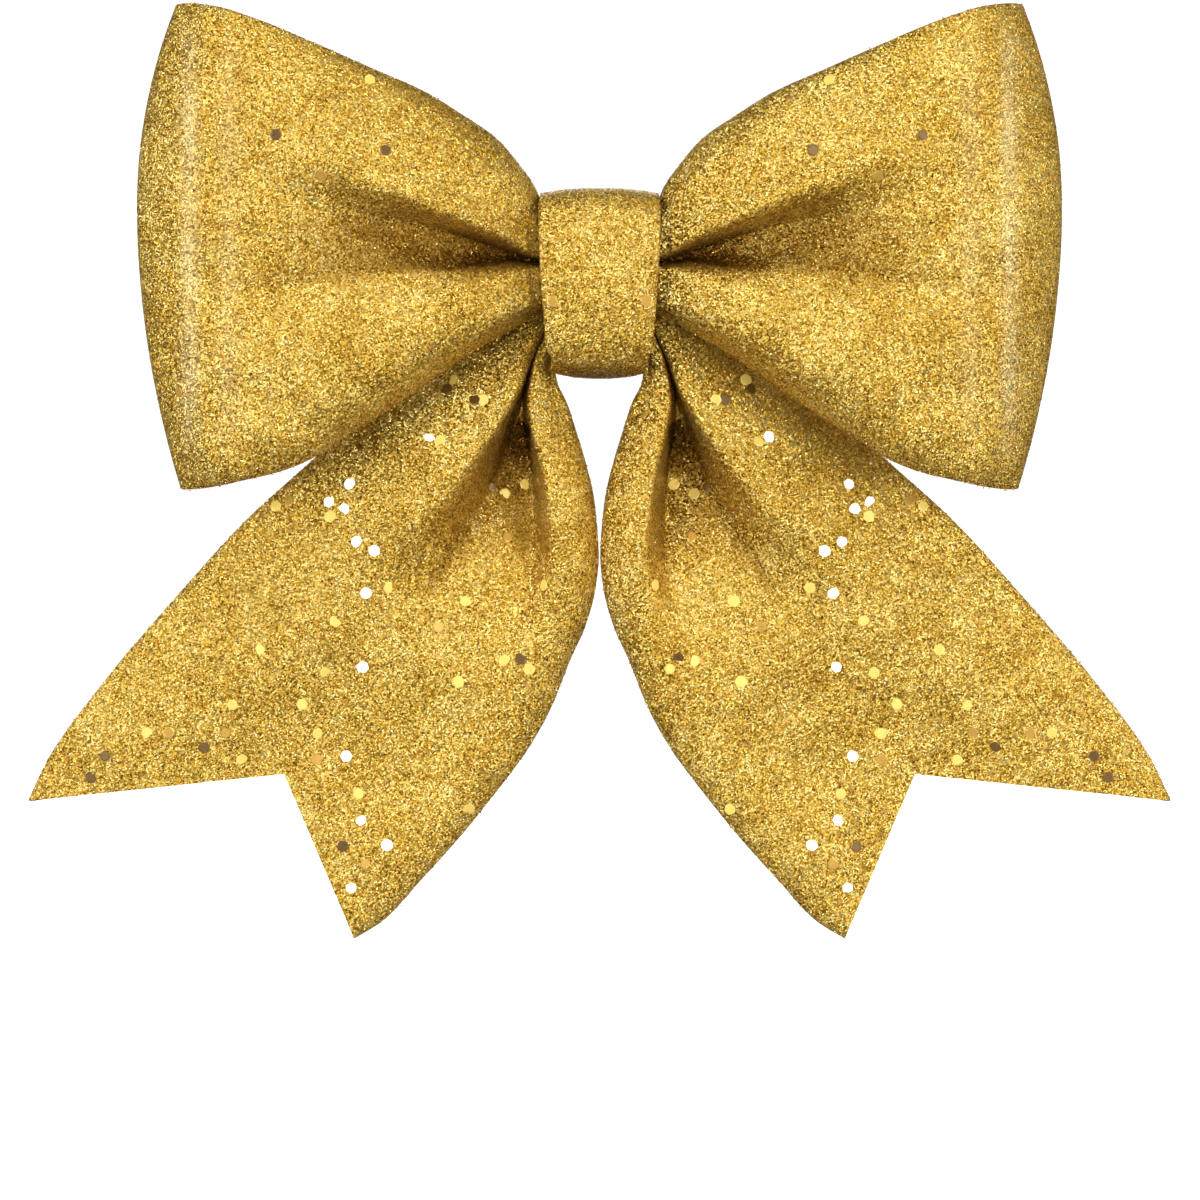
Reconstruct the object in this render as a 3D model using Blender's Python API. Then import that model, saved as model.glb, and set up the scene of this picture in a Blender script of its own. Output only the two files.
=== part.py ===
"""Cheer hair bow on a sprung alligator clip.

Metres, +Z up, bow facing -Y. The origin is on the outer face of the clip's
lower jaw, the face that lies against the head, behind the middle of the knot.

The bow is one strip of 76 mm ribbon folded into two loops, a second strip
that makes the two tails, a narrower strip wound round both as the knot, and
a 56 mm clip whose upper jaw is caught inside that winding.
"""

import math

import bmesh
import bpy
from mathutils import Matrix, Vector

# ---------------------------------------------------------------- dimensions
MM = 0.001

RIBBON_T = 0.5 * MM  # face ribbon, fused film included
LINING_T = 0.3 * MM  # ribbon behind it
PLY_GAP = 0.3 * MM  # between the two plies
LOOP_REACH = 72.1 * MM  # furthest point of a loop from the middle
LOOP_TOP = 43.6 * MM  # upper outer corner of a loop
LOOP_BOTTOM = -32.5 * MM  # lower outer corner; 76 mm of ribbon between them

WRAP_T = 0.8 * MM
KNOT_HALF_W = 9.25 * MM

JAW_T = 0.8 * MM
JAW_HALF_W = 4.0 * MM
JAW_TIP_X = -26.5 * MM
LEVER_END_X = 28.0 * MM
LOWER_JAW_Y = -0.4 * MM  # middle of the lower plate; its outer face is y = 0
UPPER_JAW_Y = -6.9 * MM  # middle of the upper plate
PIN_X, PIN_Y = 14.0 * MM, -3.9 * MM
PIN_R = 0.7 * MM
PIN_HOLE_R = 1.0 * MM
EAR_R = 2.1 * MM
EAR_DRAFT = 0.03 * MM  # how far the lugs narrow from plate to pin
LEVER_SLOPE = math.radians(26.2)

SPRING_R = 1.35 * MM
SPRING_WIRE_R = 0.3 * MM
SPRING_TURNS = 3

LOOP_STATIONS = 30  # from the middle of the front to the middle of the back
LOOP_ACROSS = 12
TAIL_STATIONS = 16
ROOT_X = -9.9 * MM  # where a tail leaves the knot


# ------------------------------------------------------------------- helpers
def clear_scene():
    for obj in list(bpy.data.objects):
        bpy.data.objects.remove(obj, do_unlink=True)


def through(table, at):
    """Value at a station of the smooth, never overshooting curve through
    the (station, value) pairs of the table."""
    if at <= table[0][0]:
        return table[0][1]
    if at >= table[-1][0]:
        return table[-1][1]
    n = len(table)
    step = [table[i + 1][0] - table[i][0] for i in range(n - 1)]
    rise = [(table[i + 1][1] - table[i][1]) / step[i] for i in range(n - 1)]
    slope = [rise[0]] + [0.0] * (n - 2) + [rise[-1]]
    for i in range(1, n - 1):
        if rise[i - 1] * rise[i] > 0:
            a = 2 * step[i] + step[i - 1]
            b = step[i] + 2 * step[i - 1]
            slope[i] = (a + b) / (a / rise[i - 1] + b / rise[i])
    i = max(j for j in range(n - 1) if table[j][0] <= at)
    t = (at - table[i][0]) / step[i]
    h, y0, y1 = step[i], table[i][1], table[i + 1][1]
    return (
        y0 * (1 + 2 * t) * (1 - t) ** 2
        + h * slope[i] * t * (1 - t) ** 2
        + y1 * t * t * (3 - 2 * t)
        - h * slope[i + 1] * t * t * (1 - t)
    )


def along(points, t):
    """Point at share t of the curve through points, taken as evenly spaced."""
    n = len(points) - 1
    return Vector(
        [through([(i / n, p[k]) for i, p in enumerate(points)], t) for k in range(len(points[0]))]
    )


def material(name, colour, roughness, metallic=0.0):
    mat = bpy.data.materials.get(name) or bpy.data.materials.new(name)
    mat.use_nodes = True
    bsdf = mat.node_tree.nodes["Principled BSDF"]
    bsdf.inputs["Base Color"].default_value = (*colour, 1.0)
    bsdf.inputs["Roughness"].default_value = roughness
    bsdf.inputs["Metallic"].default_value = metallic
    return mat


def finish(obj, mat, smooth=35):
    obj.data.materials.clear()
    obj.data.materials.append(mat)
    if obj.type == "MESH":
        obj.data.shade_smooth()
        obj.data.set_sharp_from_angle(angle=math.radians(smooth))
    return obj


def mesh_object(name, verts, faces, at=(0, 0, 0)):
    """Closed mesh from world-space points, with its origin set at a point."""
    origin = Vector(at)
    data = bpy.data.meshes.new(name)
    data.from_pydata([Vector(v) - origin for v in verts], [], faces)
    work = bmesh.new()
    work.from_mesh(data)
    bmesh.ops.recalc_face_normals(work, faces=work.faces)
    work.to_mesh(data)
    work.free()
    obj = bpy.data.objects.new(name, data)
    obj.location = origin
    bpy.context.collection.objects.link(obj)
    return obj


def helper_mesh(name, verts, faces):
    obj = mesh_object(name, verts, faces)
    obj.hide_render = True
    obj.display_type = "WIRE"
    return obj


def box_points(x0, x1, y0, y1, z0, z1):
    verts = [(x, y, z) for x in (x0, x1) for y in (y0, y1) for z in (z0, z1)]
    faces = [(0, 1, 3, 2), (4, 6, 7, 5), (0, 4, 5, 1), (2, 3, 7, 6), (0, 2, 6, 4), (1, 5, 7, 3)]
    return verts, faces


def drum_points(x, y, r, z0, z1, sides=24):
    """Cylinder along Z."""
    ring = [2 * math.pi * i / sides for i in range(sides)]
    verts = [(x + r * math.cos(a), y + r * math.sin(a), z) for z in (z0, z1) for a in ring]
    faces = [(i, (i + 1) % sides, sides + (i + 1) % sides, sides + i) for i in range(sides)]
    faces += [tuple(range(sides)), tuple(range(2 * sides - 1, sides - 1, -1))]
    return verts, faces


def boolean(obj, other, operation):
    cut = obj.modifiers.new(other.name, "BOOLEAN")
    cut.operation = operation
    cut.solver = "EXACT"
    cut.object = other


def grid_normals(points, towards, closed):
    """Normal at each point of a grid, from the facets round it, made longer
    at a bend so that a ply offset along it keeps its thickness."""
    rows, columns = len(points), len(points[0])
    normals = []
    for i in range(rows):
        before = points[i - 1] if closed or i else points[0]
        after = points[(i + 1) % rows] if closed or i < rows - 1 else points[i]
        line = []
        for j in range(columns):
            here = points[i][j]
            forward = after[j] - before[j]
            sides = []
            if j:
                sides.append((here - points[i][j - 1]).cross(forward).normalized())
            if j < columns - 1:
                sides.append((points[i][j + 1] - here).cross(forward).normalized())
            mean = sum(sides, Vector()).normalized()
            mean /= max(0.55, mean.dot(sides[0]))
            line.append(mean if mean.dot(towards(i, j)) >= 0 else -mean)
        normals.append(line)
    return normals


def slab(points, normals, low, high, closed=False):
    """Vertices and faces of a sheet given thickness between two offsets
    along the normals of its middle surface."""
    rows, columns = len(points), len(points[0])
    verts, faces = [], []
    for i in range(rows):
        for level in (high, low):
            for j in range(columns):
                verts.append(points[i][j] + normals[i][j] * level)

    def at(i, level, j):
        return (i % rows) * 2 * columns + level * columns + j

    for i in range(rows if closed else rows - 1):
        for j in range(columns - 1):
            faces.append((at(i, 0, j), at(i + 1, 0, j), at(i + 1, 0, j + 1), at(i, 0, j + 1)))
            faces.append((at(i, 1, j), at(i, 1, j + 1), at(i + 1, 1, j + 1), at(i + 1, 1, j)))
        for j in (0, columns - 1):
            faces.append((at(i, 0, j), at(i, 1, j), at(i + 1, 1, j), at(i + 1, 0, j)))
    if not closed:
        for i in (0, rows - 1):
            for j in range(columns - 1):
                faces.append((at(i, 0, j), at(i, 0, j + 1), at(i, 1, j + 1), at(i, 1, j)))
    return verts, faces


def mirrored(points):
    return [[Vector((-p.x, p.y, p.z)) for p in line] for line in points]


# --------------------------------------------------------------------- loops
# Height of a loop's upper and lower edges at a distance from the middle, mm.
LOOP_UPPER_EDGE = [
    (0, 10.6), (7, 11.4), (9.2, 11.8), (10.2, 14.7), (12.6, 18.1), (16.2, 22.2),
    (21.2, 25.6), (27.1, 29.2), (36, 33.1), (44, 36.6), (52.6, 40.2), (60, 42.6),
    (66, 43.6), (73, 43.9),
]
LOOP_LOWER_EDGE = [
    (0, -3.2), (7, -3.9), (9.2, -4.7), (15.1, -8.0), (20.1, -10.9), (25.1, -14.2),
    (30.1, -17.7), (35.1, -21.3), (40.1, -24.4), (45.1, -27.7), (50.1, -29.7),
    (55.1, -30.9), (60, -31.9), (65.3, -32.5), (73, -32.7),
]
LOOP_PLEAT_LINE = [(0, 3.4), (9.2, 3.2), (18, 4.6), (30, 5.7), (73, 5.6)]

# Plan of the fold: share of the reach, and depth, from front to back, mm.
LOOP_PLAN = [
    (0.0, -18.7), (0.13, -20.3), (0.24, -24.0), (0.40, -26.9), (0.58, -27.4),
    (0.76, -26.0), (0.90, -23.2), (0.975, -20.2), (1.0, -17.3), (0.975, -14.4),
    (0.90, -12.0), (0.76, -11.6), (0.58, -12.4), (0.40, -13.2), (0.24, -13.8),
    (0.13, -13.75), (0.0, -13.7),
]
PLEAT_DEPTH = [(0, 2.7), (0.13, 3.9), (0.24, 6.8), (0.36, 7.6), (0.5, 5.4), (0.66, 2.4), (0.84, 0.4), (1, 0)]
EDGE_SET_BACK = [(0, 1.6), (0.13, 2.4), (0.24, 3.8), (0.4, 4.4), (0.6, 3.2), (0.8, 1.6), (1, 0.6)]


def loop_reach(z):
    """Distance of the outer fold from the middle at a height, mm."""
    half = 31.6 if z > 12 else 44.5
    drop = 6.1 if z > 12 else 6.8
    return LOOP_REACH / MM - drop * ((z - 12) / half) ** 2


def loop_point(s, b):
    """Left loop's middle surface. s runs from the middle of the front, round
    the outer fold, to the middle of the back; b runs from the lower edge to
    the upper one."""
    v = 2 * b - 1
    outer_z = LOOP_BOTTOM / MM + b * (LOOP_TOP - LOOP_BOTTOM) / MM
    share, depth = along(LOOP_PLAN, s)
    x = share * loop_reach(outer_z)
    behind = 0.5 - 0.5 * math.cos(math.pi * min(max((s - 0.42) / 0.2, 0), 1))
    pleat = through(LOOP_PLEAT_LINE, x)
    edge = through(LOOP_UPPER_EDGE if v > 0 else LOOP_LOWER_EDGE, x)
    tuck = 1.0 * behind * abs(v)
    z = pleat + abs(v) * (edge - pleat) - math.copysign(tuck, v)
    front = 1 - behind
    fold = math.exp(-((abs(v) / 0.24) ** 1.7))
    depth += front * (through(PLEAT_DEPTH, share) * fold + through(EDGE_SET_BACK, share) * abs(v) ** 2.6)
    depth -= behind * 1.2 * share * v * v
    return Vector((-x, depth, z)) * MM


def make_loops():
    left = [
        [loop_point(i / LOOP_STATIONS, j / LOOP_ACROSS) for j in range(LOOP_ACROSS + 1)]
        for i in range(LOOP_STATIONS + 1)
    ]
    points = left + mirrored(left)[-2:0:-1]

    def outward(i, j):
        # Forward on the front, away from the knot at the fold, backward behind.
        side = 1 if i <= LOOP_STATIONS else -1
        turn = math.pi * (i if side == 1 else 2 * LOOP_STATIONS - i) / LOOP_STATIONS
        return Vector((-side * math.sin(turn), -math.cos(turn), 0))

    normals = grid_normals(points, outward, True)
    for name, middle, thick, mat in (
        ("loop_ribbon", 0.0, RIBBON_T, GLITTER),
        ("loop_lining", -(RIBBON_T / 2 + PLY_GAP + LINING_T / 2), LINING_T, LINING),
    ):
        verts, faces = slab(points, normals, middle - thick / 2, middle + thick / 2, closed=True)
        finish(mesh_object(name, verts, faces), mat, 60)


# --------------------------------------------------------------------- tails
# Left tail, seen from the front, mm: the outer edge, the fold line down the
# middle to the point of the notch, and the inner edge.
TAIL_OUTER = [
    (0, -9.9, -1.0), (0.37, -43.1, -26.9), (0.5, -54.2, -36.4), (0.65, -65.9, -49.1),
    (0.8, -77.0, -62.1), (0.94, -86.3, -75.0), (1, -89.2, -81.1),
]
TAIL_FOLD = [
    (0, -9.9, -7.6), (0.15, -12.2, -19.0), (0.3, -14.5, -31.0), (0.5, -20.0, -45.0),
    (0.75, -35.0, -62.0), (1, -49.3, -76.9),
]
TAIL_INNER = [
    (0, -9.9, -13.0), (0.08, -6.6, -18.0), (0.17, -3.9, -25.0), (0.27, -1.7, -34.2),
    (0.36, -0.9, -43.0), (0.46, -2.5, -53.5), (0.57, -7.7, -66.4), (0.72, -17.1, -80.7),
    (0.86, -28.2, -93.6), (0.95, -35.4, -100.9), (1, -38.4, -102.5),
]
# Depth along the tail, mm: outer edge, outer ridge, floor of the pleat, inner
# ridge and inner edge.
TAIL_EDGE_Y = [(0, -11.4), (0.15, -10.8), (0.3, -9.2), (0.45, -9.2), (0.6, -9.8), (0.8, -9.4), (1, -8.2)]
TAIL_RIDGE_Y = [(0, -12.0), (0.12, -13.2), (0.3, -15.2), (0.45, -15.2), (0.6, -14.0), (0.8, -12.0), (1, -10.4)]
TAIL_FLOOR_Y = [(0, -11.2), (0.12, -10.4), (0.3, -9.3), (0.45, -11.0), (0.6, -11.9), (0.8, -11.4), (1, -10.4)]
TAIL_INNER_RIDGE_Y = [(0, -12.0), (0.12, -12.9), (0.3, -15.4), (0.45, -14.6), (0.6, -13.6), (0.8, -12.2), (1, -11.0)]
TAIL_INNER_EDGE_Y = [(0, -11.6), (0.12, -12.0), (0.3, -12.6), (0.45, -12.2), (0.6, -11.6), (0.8, -10.8), (1, -10.2)]
TAIL_WALL_OUT = [(0, 0.42), (0.3, 0.43), (0.5, 0.41), (1, 0.42)]
TAIL_WALL_IN = [(0, 0.62), (0.15, 0.63), (0.3, 0.68), (0.5, 0.76), (1, 0.78)]


def plan(table, u):
    return (
        through([(t, x) for t, x, z in table], u),
        through([(t, z) for t, x, z in table], u),
    )


def pleat_places(u):
    """Shares of the tail's width where its pleat starts, bottoms and ends."""
    out, into = through(TAIL_WALL_OUT, u), through(TAIL_WALL_IN, u)
    wall = 0.07 + 0.05 * u
    return out - wall, out + 0.04, into - 0.04, 0.5 * (into + wall + 1.0)


def tail_point(u, v):
    """Left tail's middle surface: u from the knot to the cut end, v from the
    outer edge to the inner one."""
    outer, fold, inner = plan(TAIL_OUTER, u), plan(TAIL_FOLD, u), plan(TAIL_INNER, u)
    first, second, share = (outer, fold, 2 * v) if v < 0.5 else (fold, inner, 2 * v - 1)
    x = first[0] + share * (second[0] - first[0])
    z = first[1] + share * (second[1] - first[1])
    ridge, floor_a, floor_b, inner_ridge = pleat_places(u)
    floor = through(TAIL_FLOOR_Y, u)
    y = through(
        [
            (0.0, through(TAIL_EDGE_Y, u)),
            (ridge, through(TAIL_RIDGE_Y, u)),
            (floor_a, floor),
            (floor_b, floor),
            (inner_ridge, through(TAIL_INNER_RIDGE_Y, u)),
            (1.0, through(TAIL_INNER_EDGE_Y, u)),
        ],
        v,
    )
    return Vector((x, y, z)) * MM


def tail_columns(u):
    """Places across the tail that its mesh follows: the pleat's own lines,
    and the point of the notch at one half."""
    a, b, c, d = pleat_places(u)
    return [
        0.0, a / 3, 2 * a / 3, a, (a + b) / 2, b, 0.5, (0.5 + c) / 2, c,
        c + (d - c) / 3, c + 2 * (d - c) / 3, d, (d + 1) / 2, 1.0,
    ]


def make_tail(side, label, joint):
    points = []
    for i in range(TAIL_STATIONS):
        u = (i / (TAIL_STATIONS - 1)) ** 1.25
        points.append([tail_point(u, v) for v in tail_columns(u)])
    if side < 0:
        points = mirrored(points)
    normals = grid_normals(points, lambda i, j: Vector((0, -1, 0)), False)
    for name, middle, thick, mat in (
        (f"tail_{label}", 0.0, RIBBON_T, GLITTER),
        (f"tail_lining_{label}", -(RIBBON_T / 2 + PLY_GAP + LINING_T / 2), LINING_T, LINING),
    ):
        # The lining stops a little short of the knot, where the fold is tightest.
        first = 2 if middle else 0
        verts, faces = slab(points[first:], normals[first:], middle - thick / 2, middle + thick / 2)
        finish(mesh_object(name, verts, faces, at=joint), mat, 60)


# ---------------------------------------------------------------------- knot
def make_tail_gather():
    """Middle of the tail strip: folded to and fro, inside the winding."""
    folds = 7
    low, high, front, back = -12.0, 2.0, -12.75, -10.6
    path = []
    for i in range(folds + 1):
        path.append((back if i % 2 else front, low + (high - low) * i / folds))
    half = 0.3
    outline = []
    for sign in (1, -1):
        run = []
        for i, (y, z) in enumerate(path):
            before = path[max(i - 1, 0)]
            after = path[min(i + 1, folds)]
            d = Vector((after[0] - before[0], after[1] - before[1])).normalized()
            n = Vector((-d.y, d.x)) * sign
            # Mitre at a fold, so that the ply keeps its thickness.
            if 0 < i < folds:
                leg = Vector((y - before[0], z - before[1])).normalized()
                n /= max(0.45, abs(Vector((-leg.y, leg.x)).dot(n)))
            run.append((y + half * n.x, z + half * n.y))
        outline += run if sign == 1 else run[::-1]
    count = len(outline)
    verts, faces = [], []
    stations = (-8.6, -4.3, 0.0, 4.3, 8.6)
    for x in stations:
        spread = 1 + 0.03 * (abs(x) / 8.6) ** 2
        for y, z in outline:
            verts.append(Vector((x, y, -5.1 + (z + 5.1) * spread)) * MM)
    for i in range(len(stations) - 1):
        for j in range(count):
            k = (j + 1) % count
            faces.append((i * count + j, (i + 1) * count + j, (i + 1) * count + k, i * count + k))
    for i in (0, len(stations) - 1):
        faces.append([i * count + j for j in range(count)])
    finish(mesh_object("tail_gather", verts, faces), GLITTER, 30)


# The winding's outer outline, seen along X, as (y, z) in mm.
KNOT_OUTLINE = [
    (-24.6, 1.0), (-24.3, 6.0), (-23.0, 10.4), (-20.4, 13.5), (-17.0, 14.7), (-13.7, 13.7),
    (-11.0, 11.0), (-8.7, 7.8), (-6.6, 5.7), (-4.9, 4.9), (-4.5, 4.3), (-4.5, 1.5), (-4.5, -1.5),
    (-4.5, -4.3), (-4.9, -5.1), (-6.1, -6.9), (-7.2, -9.6), (-8.3, -12.4), (-10.6, -14.3),
    (-14.5, -14.8), (-18.0, -14.2), (-21.2, -11.6), (-23.2, -8.2), (-24.3, -3.6),
]
KNOT_HALF_WIDTH = [(-14.8, 7.1), (-13.3, 7.3), (-10.8, 8.1), (-8.4, 8.3), (-3.6, 8.75), (4.7, 9.15), (13.8, 9.25)]


def make_knot_wrap():
    """Strip wound once round the gathered ribbon and the clip's upper jaw."""
    count = len(KNOT_OUTLINE)
    across = 6

    def outline(i):
        return Vector(KNOT_OUTLINE[i % count])

    points, normals = [], []
    for i in range(count):
        y, z = outline(i)
        tangent = (outline(i + 1) - outline(i - 1)).normalized()
        outward = Vector((-tangent.y, tangent.x))
        if outward.dot(outline(i) - Vector((-13.0, 0.0))) < 0:
            outward = -outward
        back = min(max((y + 9.0) / 4.0, 0), 1)
        half = through(KNOT_HALF_WIDTH, z)
        half += (8.4 - half) * back
        line = []
        for j in range(across + 1):
            share = 2 * j / across - 1
            # The strip is slightly crowned: its cut edges lie lower than its middle.
            shift = outward * (-0.6 * (1 - back) * share * share)
            line.append(Vector((share * half, y + shift.x, z + shift.y)) * MM)
        points.append(line)
        normals.append([Vector((0, outward.x, outward.y))] * (across + 1))
    verts, faces = slab(points, normals, -WRAP_T, 0.0, closed=True)
    finish(mesh_object("knot_wrap", verts, faces), GLITTER, 60)


THREAD_OUTLINE = [
    (-20.5, 9.5), (-18.6, 11.6), (-15.8, 12.1), (-13.4, 11.7), (-11.6, 8.6), (-9.7, 4.6), (-9.0, 2.8),
    (-8.7, 0.6), (-8.7, -4.4), (-8.7, -8.8), (-9.4, -11.0), (-11.4, -13.1), (-13.4, -13.4),
    (-16.4, -10.0), (-20.0, -5.2), (-21.2, -3.6), (-21.6, 0.0), (-21.6, 4.6), (-21.3, 7.6),
]


def make_binding():
    """Band of waxed thread that holds the gathers before the strip goes on."""
    count = len(THREAD_OUTLINE)
    points, normals = [], []
    for i, (y, z) in enumerate(THREAD_OUTLINE):
        tangent = (Vector(THREAD_OUTLINE[(i + 1) % count]) - Vector(THREAD_OUTLINE[i - 1])).normalized()
        outward = Vector((-tangent.y, tangent.x))
        if outward.dot(Vector((y + 14.5, z + 1.0))) < 0:
            outward = -outward
        points.append([Vector((x, y, z)) * MM for x in (-1.5, 0.0, 1.5)])
        normals.append([Vector((0, outward.x, outward.y))] * 3)
    verts, faces = slab(points, normals, -0.7 * MM, 0.0, closed=True)
    finish(mesh_object("binding_thread", verts, faces), THREAD, 60)


def make_glue():
    """Hot-melt pad between the gathers and the upper jaw."""
    verts, faces = box_points(-7.6 * MM, 7.6 * MM, -8.4 * MM, -7.6 * MM, -3.4 * MM, 3.4 * MM)
    obj = mesh_object("clip_glue", verts, faces)
    bevel = obj.modifiers.new("soft_edge", "BEVEL")
    bevel.width = 0.25 * MM
    bevel.segments = 2
    finish(obj, GLUE, 40)


# ---------------------------------------------------------------------- clip
def strip_points(centre, thickness, half_width):
    """A bent metal strip: a centreline in XY given thickness, and width in Z."""
    verts, faces = [], []
    last = len(centre) - 1
    for i, here in enumerate(centre):
        before, after = centre[max(i - 1, 0)], centre[min(i + 1, last)]
        here, before, after = Vector(here), Vector(before), Vector(after)
        legs = [(b - a).normalized() for a, b in ((before, here), (here, after)) if b != a]
        d = sum(legs, Vector((0.0, 0.0))).normalized()
        n = Vector((-d.y, d.x))
        # Mitred at the bisector, so that both faces of each leg stay parallel.
        n /= max(0.6, Vector((-legs[0].y, legs[0].x)).dot(n))
        for sign in (1, -1):
            p = here + n * (sign * thickness / 2)
            for z in (-half_width, half_width):
                verts.append((p.x, p.y, z))
    for i in range(last):
        a, b = 4 * i, 4 * (i + 1)
        faces += [
            (a, b, b + 1, a + 1), (a + 2, a + 3, b + 3, b + 2),
            (a, a + 2, b + 2, b), (a + 1, b + 1, b + 3, a + 3),
        ]
    faces += [(0, 1, 3, 2), (4 * last, 4 * last + 2, 4 * last + 3, 4 * last + 1)]
    return verts, faces


def ears(jaw, plate_y, inner, outer):
    """Two lugs from a jaw's plate to the pin, with a hole for it."""
    for sign, label in ((-1, "low"), (1, "high")):
        z0, z1 = sorted((sign * inner, sign * outer))
        y0, y1 = sorted((plate_y, PIN_Y))
        verts, faces = box_points(PIN_X - EAR_R, PIN_X + EAR_R, y0, y1, z0, z1)
        # The lug's four walls lean in by EAR_DRAFT between the plate and the pin.
        middle = 0.5 * (z0 + z1)
        drawn = [
            (x, y, z) if y == plate_y else (
                x + math.copysign(EAR_DRAFT, PIN_X - x), y, z + math.copysign(EAR_DRAFT, middle - z)
            )
            for x, y, z in verts
        ]
        boolean(jaw, helper_mesh(f"{jaw.name}_{label}_lug", drawn, faces), "UNION")
        boolean(jaw, helper_mesh(
            f"{jaw.name}_{label}_eye",
            *drum_points(PIN_X, PIN_Y, EAR_R - EAR_DRAFT, z0 + 1.3 * EAR_DRAFT, z1 - 1.3 * EAR_DRAFT, 20),
        ), "UNION")
    hole = helper_mesh(f"{jaw.name}_pin_hole", *drum_points(PIN_X, PIN_Y, PIN_HOLE_R, -outer - 2 * MM, outer + 2 * MM, 16))
    boolean(jaw, hole, "DIFFERENCE")


def notches(jaw, x, y, places, depth):
    """V gaps between the teeth at a jaw's bent end; each cutter is a prism
    along X whose point faces away from the teeth's tips."""
    for k, z in enumerate(places):
        reach, half = depth, 0.75 * MM
        rim = y + (0.4 * MM if depth < 0 else -0.4 * MM)
        corners = [(y - reach, z), (rim + (0.6 * MM if depth < 0 else -0.6 * MM) * -1, z - half), (rim + (0.6 * MM if depth < 0 else -0.6 * MM) * -1, z + half)]
        verts = [(xx, yy, zz) for xx in (x - 1.6 * MM, x + 1.6 * MM) for yy, zz in corners]
        faces = [(0, 1, 2), (3, 5, 4), (0, 3, 4, 1), (1, 4, 5, 2), (2, 5, 3, 0)]
        boolean(jaw, helper_mesh(f"{jaw.name}_notch_{k}", verts, faces), "DIFFERENCE")


def make_clip(hinge):
    slope = (math.cos(LEVER_SLOPE), math.sin(LEVER_SLOPE))
    lever = (LEVER_END_X - 15.2 * MM) / slope[0]
    lower = [
        (JAW_TIP_X - 1.6 * MM, -2.5 * MM), (JAW_TIP_X - 1.5 * MM, -1.5 * MM),
        (JAW_TIP_X - 1.0 * MM, -0.7 * MM), (JAW_TIP_X, LOWER_JAW_Y), (15.2 * MM, LOWER_JAW_Y),
        (15.2 * MM + lever * slope[0], LOWER_JAW_Y + lever * slope[1]),
    ]
    jaw = mesh_object("clip_bottom_jaw", *strip_points(lower, JAW_T, JAW_HALF_W), at=hinge)
    ears(jaw, LOWER_JAW_Y, 3.2 * MM, JAW_HALF_W - 0.00001)
    notches(jaw, JAW_TIP_X - 1.6 * MM, -2.5 * MM, [k * 1.6 * MM for k in (-1.5, -0.5, 0.5, 1.5)], -1.0 * MM)
    finish(jaw, STEEL, 30)

    upper = [
        (JAW_TIP_X, -1.6 * MM), (JAW_TIP_X + 0.5 * MM, -4.4 * MM), (JAW_TIP_X + 1.7 * MM, -6.2 * MM),
        (JAW_TIP_X + 3.8 * MM, UPPER_JAW_Y), (LEVER_END_X - 1.5 * MM, UPPER_JAW_Y),
        (LEVER_END_X, UPPER_JAW_Y + 0.35 * MM),
    ]
    jaw = mesh_object("clip_top_jaw", *strip_points(upper, JAW_T, JAW_HALF_W), at=hinge)
    ears(jaw, UPPER_JAW_Y, 2.0 * MM, 2.8 * MM)
    notches(jaw, JAW_TIP_X, -1.6 * MM, [k * 1.6 * MM for k in (-2, -1, 0, 1, 2)], 1.0 * MM)
    finish(jaw, STEEL, 30)

    # Pin with a small head at each end.
    verts, faces = [], []
    sides = 20
    profile = [(PIN_R, -4.3), (1.3 * MM, -4.3), (1.3 * MM, -4.75), (0.9 * MM, -5.0)]
    profile = [(r, z * MM) for r, z in profile]
    rings = profile[::-1] + [(r, -z) for r, z in profile]
    for r, z in rings:
        for k in range(sides):
            a = 2 * math.pi * k / sides
            verts.append((PIN_X + r * math.cos(a), PIN_Y + r * math.sin(a), z))
    for i in range(len(rings) - 1):
        for k in range(sides):
            n = (k + 1) % sides
            faces.append((i * sides + k, i * sides + n, (i + 1) * sides + n, (i + 1) * sides + k))
    faces += [tuple(range(sides)), tuple(range((len(rings) - 1) * sides, len(rings) * sides))]
    finish(mesh_object("clip_pin", verts, faces, at=hinge), STEEL, 35)

    # Torsion spring: a coil round the pin, one leg under each lever.
    data = bpy.data.curves.new("clip_spring", "CURVE")
    data.dimensions = "3D"
    data.bevel_depth = SPRING_WIRE_R
    data.bevel_resolution = 1
    data.use_fill_caps = True
    route = [(22.5 * MM - PIN_X, -5.85 * MM - PIN_Y, -1.3 * MM)]
    steps = SPRING_TURNS * 14 + 7
    for i in range(steps + 1):
        a = -math.pi / 2 - 2 * math.pi * i / 14
        route.append((SPRING_R * math.cos(a), SPRING_R * math.sin(a), (-1.3 + 2.6 * i / steps) * MM))
    route.append((22.0 * MM - PIN_X, 1.8 * MM - PIN_Y, 1.3 * MM))
    line = data.splines.new("POLY")
    line.points.add(len(route) - 1)
    for point, place in zip(line.points, route):
        point.co = (*place, 1.0)
    spring = bpy.data.objects.new("clip_spring", data)
    spring.location = hinge
    bpy.context.collection.objects.link(spring)
    finish(spring, STEEL)

    # Ribbon glued along the inside of the upper jaw.
    verts, faces = box_points(-22.0 * MM, 9.6 * MM, -6.2 * MM, -5.6 * MM, -3.7 * MM, 3.7 * MM)
    liner = mesh_object("clip_liner", verts, faces)
    bevel = liner.modifiers.new("worn_edge", "BEVEL")
    bevel.width = 0.15 * MM
    bevel.segments = 2
    finish(liner, LINING, 40)


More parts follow.
